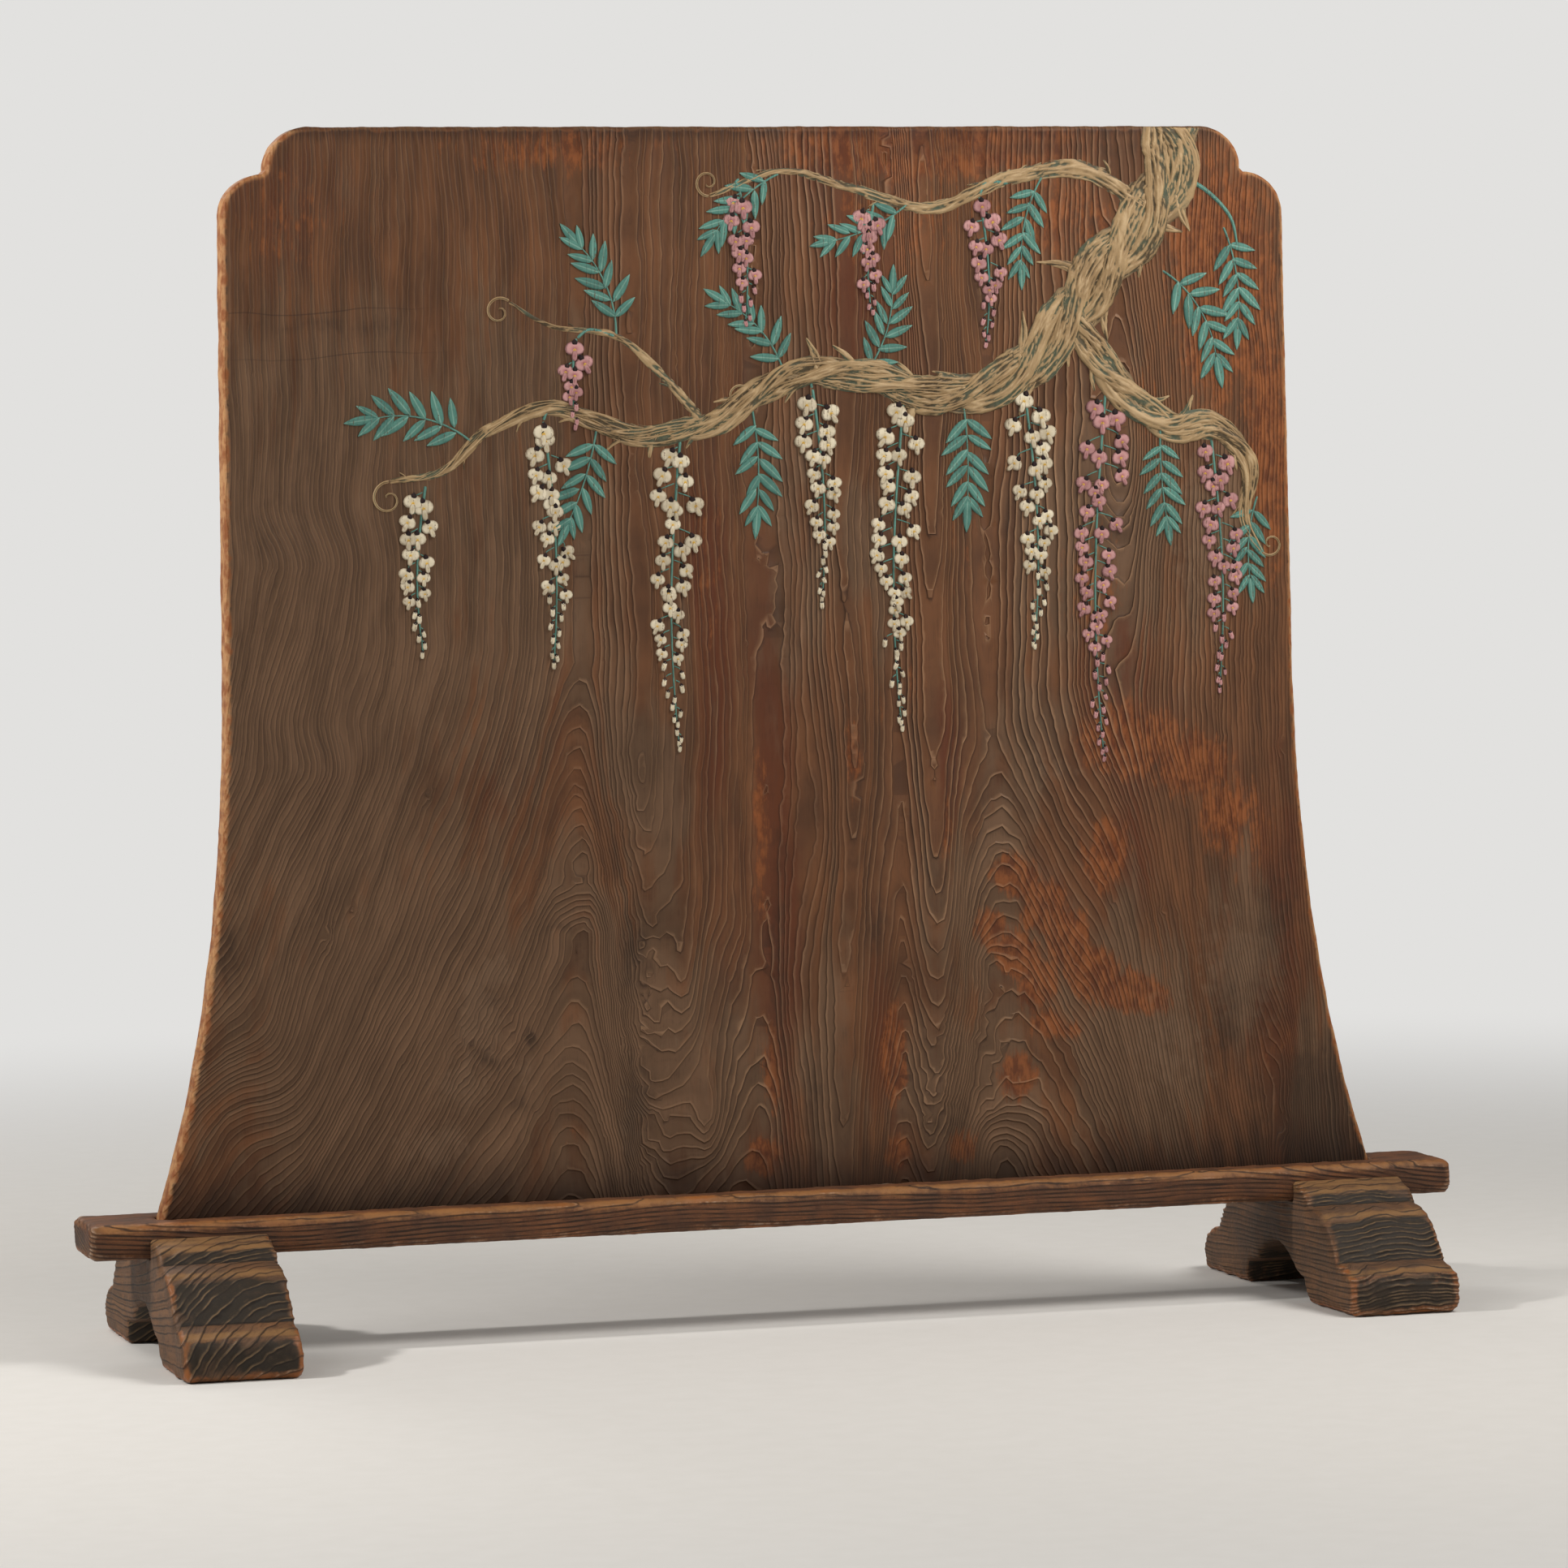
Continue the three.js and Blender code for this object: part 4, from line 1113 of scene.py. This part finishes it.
class Relief:
    """Shapes gathered on the board's face: where each point lies, how proud it is, and two notes for the finish."""

    def __init__(self):
        self.points, self.faces, self.notes, self.count = [], [], [], 0

    def add(self, points, faces, notes):
        self.points.append(points)
        self.faces += [tuple(self.count + k for k in face) for face in faces]
        self.notes.append(notes)
        self.count += len(points)

    def add_strip(self, places, proud, first_note, second_note):
        """Rows of places side by side, joined to a strip that ends in the wood."""
        proud = proud.copy()
        proud[[0, -1]] = -1.0
        length, across = proud.shape
        starts = (i * across + j for i in range(length - 1) for j in range(across - 1))
        faces = [(a, a + across, a + across + 1, a + 1) for a in starts]
        notes = np.stack([np.broadcast_to(note, proud.shape).ravel() for note in (first_note, second_note)], 1)
        self.add(np.concatenate([places, proud[:, :, None]], 2).reshape(-1, 3), faces, notes)

    def add_copy(self, shape, place, turn, size, rise, chance):
        """A copy of one modelled shape, turned, sized and raised over what lies below it."""
        points, faces, out = shape
        u, v = points[:, 0] * size, points[:, 1] * size
        x = place[0] + u * math.cos(turn) - v * math.sin(turn)
        z = place[1] + u * math.sin(turn) + v * math.cos(turn)
        proud = points[:, 2] + rise * (points[:, 2] > 0)
        self.add(np.stack([x, z, proud], 1), faces, np.stack([out, np.full(len(out), chance)], 1))

    def laid(self, name, notes):
        """The finished piece, which follows the rise and fall of the wood under it."""
        x, z, proud = np.concatenate(self.points).T
        y = -BOARD_HALF - face_height(x, z) - proud
        piece = mesh_object(name, np.stack([x, y, z], 1) * MM, self.faces)
        ring, slope_x, slope_z = FACE.at(x, z)
        values = (ring, ring_gap(slope_x, slope_z), *np.concatenate(self.notes).T)
        for note, column in zip(("ring", "gap", *notes), values):
            write_attribute(piece, note, column)
        return piece


def carved_crests(run, across, seed):
    """Crests left between the strokes of a knife: long, thin and wavering, from 0 to 1."""
    wander = 5 * waves(run / 60, across / 18, seed)
    long_crest = 1 - 3.4 * np.abs(waves((across + wander) / 4.6, run / 60, seed + 1))
    short_crest = 0.7 - 4.0 * np.abs(waves((across - wander) / 3.6, run / 24, seed + 2))
    return np.clip(np.maximum(long_crest, short_crest), 0, 1)


def add_strand(relief, points, phase, share, spread, seed):
    """One strand of a twining stem: it swings from side to side, over and under the others."""
    run, way, side = smooth_path(points, 3.0)
    width = way[:, 2]
    turn = 2 * math.pi * run / VINE_TURN + phase
    middle = way[:, :2] + side * (spread * width * np.sin(turn))[:, None]
    ragged = 1 + 0.13 * waves(run / 34, np.zeros_like(run), seed) + 0.1 * waves(run / 9, np.zeros_like(run), seed + 1)
    half = 0.5 * share * width * ragged
    count = 2 * math.ceil(half.max() / CARVING_STEP) + 3
    across = np.sin(np.linspace(-math.pi / 2, math.pi / 2, count))
    places = middle[:, None, :] + side[:, None, :] * (half[:, None] * across)[:, :, None]
    crown = np.sqrt(np.clip(1 - across**2, 0, 1)) ** 0.7
    # how far the strand lies over the others; the finish paints shade where it lies low
    over = (0.6 + 0.4 * np.cos(turn) * (spread > 0))[:, None]
    tall = VINE_RELIEF * np.clip(width / 45, 0.3, 1)[:, None]
    crests = carved_crests(run[:, None] + 0 * across, half[:, None] * across, seed)
    deep = np.clip(half[:, None] / 12, 0.3, 1)
    proud = (0.78 * tall * over + 2.8 * deep * (crests - 0.4)) * crown - 1.0 * (1 - crown)
    relief.add_strip(places, proud, crests * crown, over * crown)


def add_line(relief, points, tall):
    """A thin round line, such as a stalk or a tendril."""
    _, way, side = smooth_path(points, 4.0)
    across = np.array((-1.0, -0.6, 0.0, 0.6, 1.0))
    places = way[:, None, :2] + side[:, None, :] * (0.5 * way[:, 2:3] * across)[:, :, None]
    proud = tall * np.tile((-0.6, 0.75, 1.0, 0.75, -0.6), (len(way), 1))
    relief.add_strip(places, proud, np.abs(across), 0.5)


def carved_vine():
    """The twining stems, with broken stubs and thorns of bark along their sides."""
    relief, chance = Relief(), np.random.default_rng(31)
    for number, points in enumerate(VINES):
        thick = max(width for _, _, width in points) > 30
        strands = ((0.0, 0.62, 0.3), (2.1, 0.58, 0.3), (4.2, 0.54, 0.3)) if thick else ((0.0, 1.0, 0.0),)
        for phase, share, spread in strands:
            add_strand(relief, points, phase, share, spread, 200 + 10 * number + int(phase * 3))
        run, way, side = smooth_path(points, 3.0)
        for at in np.arange(50, run[-1] - 30, VINE_SPUR_SPACING if thick else 2 * VINE_SPUR_SPACING):
            here = int(np.searchsorted(run, at + chance.uniform(0, 20)))
            here = min(here, len(run) - 2)
            hand = 1 if chance.random() < 0.5 else -1
            ahead = way[here + 1, :2] - way[here, :2]
            lean = math.atan2(ahead[1], ahead[0]) + hand * chance.uniform(0.35, 0.8)
            start = way[here, :2] + hand * side[here] * 0.3 * way[here, 2]
            add_stub(relief, start, lean, chance.uniform(0.45, 0.85) * way[here, 2] + 8, 0.3 * way[here, 2], int(at))
    for x, z, lean, length in STUBS:
        add_stub(relief, (x, z), lean, length, 17, int(abs(x)))
    return relief.laid("carved_vine", ("crest", "over"))


def add_stub(relief, start, lean, length, width, seed):
    """A broken side shoot that tapers to a splinter."""
    middle = (start[0] + 0.5 * length * math.cos(lean), start[1] + 0.5 * length * math.sin(lean))
    tip = (start[0] + length * math.cos(lean + 0.12), start[1] + length * math.sin(lean + 0.12))
    add_strand(relief, ((*start, width), (*middle, 0.65 * width), (*tip, 1.6)), 0.0, 1.0, 0.0, seed)


def tendrils():
    relief = Relief()
    for x, z, turn, size in TENDRILS:
        points = [(x, z, 4.0)]
        for k in range(1, 22):
            reach = 0.42 * abs(size) * (1 - k / 23)
            turn += 0.42 * math.copysign(1, size)
            x += reach * math.cos(turn)
            z += reach * math.sin(turn)
            points.append((x, z, 4.0 - 0.11 * k))
        add_line(relief, points, 1.6)
    return relief.laid("tendrils", ("crest", "over"))


def modelled(outline, inset, rim, dome, skirt=1.2):
    """One petal, bud or mark, modelled from a disc: its outline, a raised middle and a side down to the wood."""
    deselect_all()
    bpy.ops.mesh.primitive_circle_add(vertices=len(outline), radius=1, fill_type="NGON")
    disc = bpy.context.object
    for vertex, (u, v) in zip(disc.data.vertices, outline):
        vertex.co = (u, v, rim)
    bpy.ops.object.mode_set(mode="EDIT")
    bpy.ops.mesh.select_all(action="SELECT")
    bpy.ops.mesh.inset(thickness=inset)
    bpy.ops.transform.translate(value=(0, 0, dome - rim))
    bpy.ops.mesh.poke(offset=0.1 * dome)
    bpy.ops.mesh.select_all(action="DESELECT")
    bpy.ops.mesh.select_non_manifold()
    bpy.ops.mesh.extrude_region_move(TRANSFORM_OT_translate={"value": (0, 0, -skirt - rim)})
    bpy.ops.mesh.select_all(action="SELECT")
    bpy.ops.mesh.normals_make_consistent(inside=False)
    bpy.ops.object.mode_set(mode="OBJECT")
    return taken(disc, lambda u, v, proud: 1.0 if proud <= rim else 0.6 if abs(proud - dome) < 1e-4 else 0.0)


def taken(piece, note):
    """The points and faces of a modelled shape, with a note for each point, and the shape removed."""
    points = np.array([vertex.co[:] for vertex in piece.data.vertices])
    faces = [tuple(face.vertices) for face in piece.data.polygons]
    bpy.data.objects.remove(piece)
    return points, faces, np.array([note(*point) for point in points])


def outline(count, reach, tall=1.0):
    """Points round a petal whose reach in each direction, from its top on, is a formula."""
    turns = [2 * math.pi * k / count for k in range(count)]
    return [(reach(t) * math.sin(t), tall * reach(t) * math.cos(t)) for t in turns]


def dip(t, at, wide):
    """A soft notch in an outline, round a direction."""
    apart = abs((t - at + math.pi) % (2 * math.pi) - math.pi)
    return math.exp(-((apart / wide) ** 2))


def leaflet_shape():
    """A pointed leaflet with a sunk midrib, modelled from a grid."""
    deselect_all()
    bpy.ops.mesh.primitive_grid_add(x_subdivisions=4, y_subdivisions=7, size=2)
    leaf = bpy.context.object
    for vertex in leaf.data.vertices:
        across, along = vertex.co.x, 0.5 * (vertex.co.y + 1)
        wide = max(0.15 * math.sin(math.pi * along**0.8) ** 0.8 if 0 < along < 1 else 0, 0.006)
        rise = 1.0 - 0.3 * abs(across) - (0.35 if abs(across) < 0.1 else 0)
        vertex.co = (across * wide, along, rise)
    bpy.ops.object.mode_set(mode="EDIT")
    bpy.ops.mesh.select_all(action="DESELECT")
    bpy.ops.mesh.select_non_manifold()
    bpy.ops.mesh.extrude_region_move(TRANSFORM_OT_translate={"value": (0, 0, -1.9)})
    bpy.ops.object.mode_set(mode="OBJECT")
    return taken(leaf, lambda u, v, proud: 1.0 if proud < 0 else min(1.0, 6.5 * abs(u)))


def raceme(parts, shapes, colour, x, top, length, width, sway, seed):
    """A hanging spray: a stalk, with florets on short stalks to both sides of it, smaller towards buds at the tip."""
    chance = np.random.default_rng(seed)
    hang = np.linspace(0, 1, 9)
    axis = [(x + sway * math.sin(2.6 * t), top - length * t, 4.0 - 2.2 * t) for t in hang]
    add_line(parts["stalks"], axis, 1.0)
    down, hand = 14.0, 1
    while down < length:
        t = down / length
        hand = -hand
        reach = 0.5 * width * (1 - t) ** 0.6 * min(1.0, 0.55 + 2.5 * t)
        out = hand * reach * (chance.uniform(0.3, 0.75) if chance.random() < 0.75 else chance.uniform(-0.1, 0.2))
        start = np.array((x + sway * math.sin(2.6 * t), top - down + 6))
        place = start + (out, -6 - 0.45 * abs(out) + chance.normal(0, 1.5))
        turn = 0.02 * out + chance.normal(0, 0.16)
        size = (11.8 - 5.4 * t) * chance.uniform(0.9, 1.08)
        rise, tint = chance.uniform(0, 1.0), chance.uniform()
        low = np.array((math.sin(turn), -math.cos(turn)))
        bend = 0.5 * (start + place) + (0.25 * out, 2)
        add_line(parts["stalks"], ((*start, 1.8), (*bend, 1.6), (*(place - 0.75 * size * low), 1.5)), 0.8)
        if t < 0.7:
            parts[colour].add_copy(shapes["banner"], place, turn, size, rise, tint)
            parts[colour].add_copy(shapes["keel"], place + 0.62 * size * low, turn, size, rise + 0.4, tint + 0.6)
            parts["gold"].add_copy(shapes["mark"], place + 0.12 * size * low, turn, size, rise + 0.3, tint)
            parts["calyxes"].add_copy(shapes["calyx"], place - 0.72 * size * low, turn, size, rise, tint)
        else:
            parts[colour].add_copy(shapes["bud"], place, turn, size, rise, tint)
            parts["calyxes"].add_copy(shapes["calyx"], place - 0.5 * size * low, turn, 0.9 * size, rise, tint)
        down += 10.5 - 3.5 * t


def feathered_leaf(parts, shapes, x, z, turn, length, bend, chance):
    """Pairs of leaflets along a bent stalk, with one at its tip."""
    points = []
    for k in range(9):
        points.append((x, z, 3.2 - 0.2 * k))
        x += length / 8 * math.cos(turn)
        z += length / 8 * math.sin(turn)
        turn += bend / 8
    add_line(parts["stalks"], points, 1.1)
    ways = np.array(points)[:, :2]
    for at in np.linspace(1.6, 7.7, LEAF_PAIRS):
        low = int(at)
        here = ways[low] + (ways[low + 1] - ways[low]) * (at - low)
        ahead = math.atan2(*(ways[low + 1] - ways[low])[::-1]) - math.pi / 2
        size = length * (0.27 + 0.05 * math.sin(at / 2.4))
        for hand in (-1, 1):
            out = ahead + hand * (1.05 - 0.06 * at) + chance.normal(0, 0.08)
            place = here + chance.normal(0, 1.2, 2)
            spread = size * chance.uniform(0.88, 1.08)
            parts["leaves"].add_copy(shapes["leaflet"], place, out, spread, chance.uniform(0, 0.6), chance.uniform())
    ahead = math.atan2(*(ways[-1] - ways[-2])[::-1]) - math.pi / 2
    parts["leaves"].add_copy(shapes["leaflet"], ways[-1], ahead, 0.3 * length, 0.3, chance.uniform())


def wisteria():
    """All that is painted on, gathered by colour."""
    shapes = {
        "banner": modelled(outline(16, lambda t: 1 - 0.22 * dip(t, 0, 0.3) - 0.34 * dip(t, math.pi, 0.9), 0.86), 0.24, 0.7, 1.3),
        "keel": modelled(outline(10, lambda t: 0.36 + 0.1 * math.cos(2 * t), 1.25), 0.12, 1.3, 2.2),
        "mark": modelled(outline(7, lambda t: 0.17, 1.3), 0.06, 1.2, 1.7),
        "bud": modelled(outline(9, lambda t: 0.5 + 0.16 * math.cos(2 * t), 1.1), 0.16, 0.7, 1.8),
        "calyx": modelled(outline(8, lambda t: 0.3 + 0.05 * math.cos(3 * t)), 0.1, 1.1, 1.9),
        "leaflet": leaflet_shape(),
    }
    parts = {name: Relief() for name in ("white", "pink", "calyxes", "gold", "stalks", "leaves")}
    for seed, row in enumerate(RACEMES):
        raceme(parts, shapes, *row, 500 + seed)
    for points in TWIGS:
        add_line(parts["stalks"], points, 1.4)
    chance = np.random.default_rng(77)
    for x, z, turn, length, bend in LEAVES:
        feathered_leaf(parts, shapes, x, z, turn, length, bend, chance)
    return {name: part.laid("painted_" + name, ("out", "chance")) for name, part in parts.items()}


# The screen

def give(piece, material, body):
    piece.data.materials.clear()
    piece.data.materials.append(material)
    if body:
        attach(piece, body)


give(board_piece(), brushed_cedar(), "screen_board")
foot_cedar = weathered_cedar("weathered_cedar", "#644b38", "#7a5639", "#231f18", "#866c4e", "#86633d", 0.92)
give(foot_piece("left", (66, -108), 0.2, 7.0, 0.6, 91), foot_cedar, "stand")
give(foot_piece("right", (40, -420), 0.04, 5.4, 1.0, 191), foot_cedar, "stand")
rail_cedar = weathered_cedar("rubbed_cedar", "#5f3d28", "#7b4c2c", "#2c2118", "#85603f", "#97683b", 0.8)
give(rail_piece(), rail_cedar, "stand")
peg_cedar = seasoned_cedar("split_cedar", "#6a4630")
for node in ("left_front_peg", "left_rear_peg", "right_front_peg", "right_rear_peg"):
    give(NODES[node], peg_cedar, None)

teal_paint = mineral_paint("malachite", "#86ab9d", "#57887c", "#32534c", 0.22)
paints = {
    "white": mineral_paint("shell_white", "#d6c59c", "#e0d5bc", "#8b7a62", 0.5),
    "pink": mineral_paint("dusky_pink", "#a9666a", "#c49492", "#70494a", 0.5),
    "calyxes": mineral_paint("lamp_black", "#33231f", "#241719", "#150d0f", 0.5),
    "gold": mineral_paint("gold_ochre", "#dcb757", "#c39a3e", "#86672b", 0.6),
    "stalks": teal_paint,
    "leaves": teal_paint,
}
for name, piece in wisteria().items():
    give(piece, paints[name], "screen_board")
bark_paint = carved_bark()
give(carved_vine(), bark_paint, "screen_board")
give(tendrils(), bark_paint, "screen_board")

deselect_all()
floor_and_light()
add_camera()
bpy.context.scene.view_settings.view_transform = "Standard"
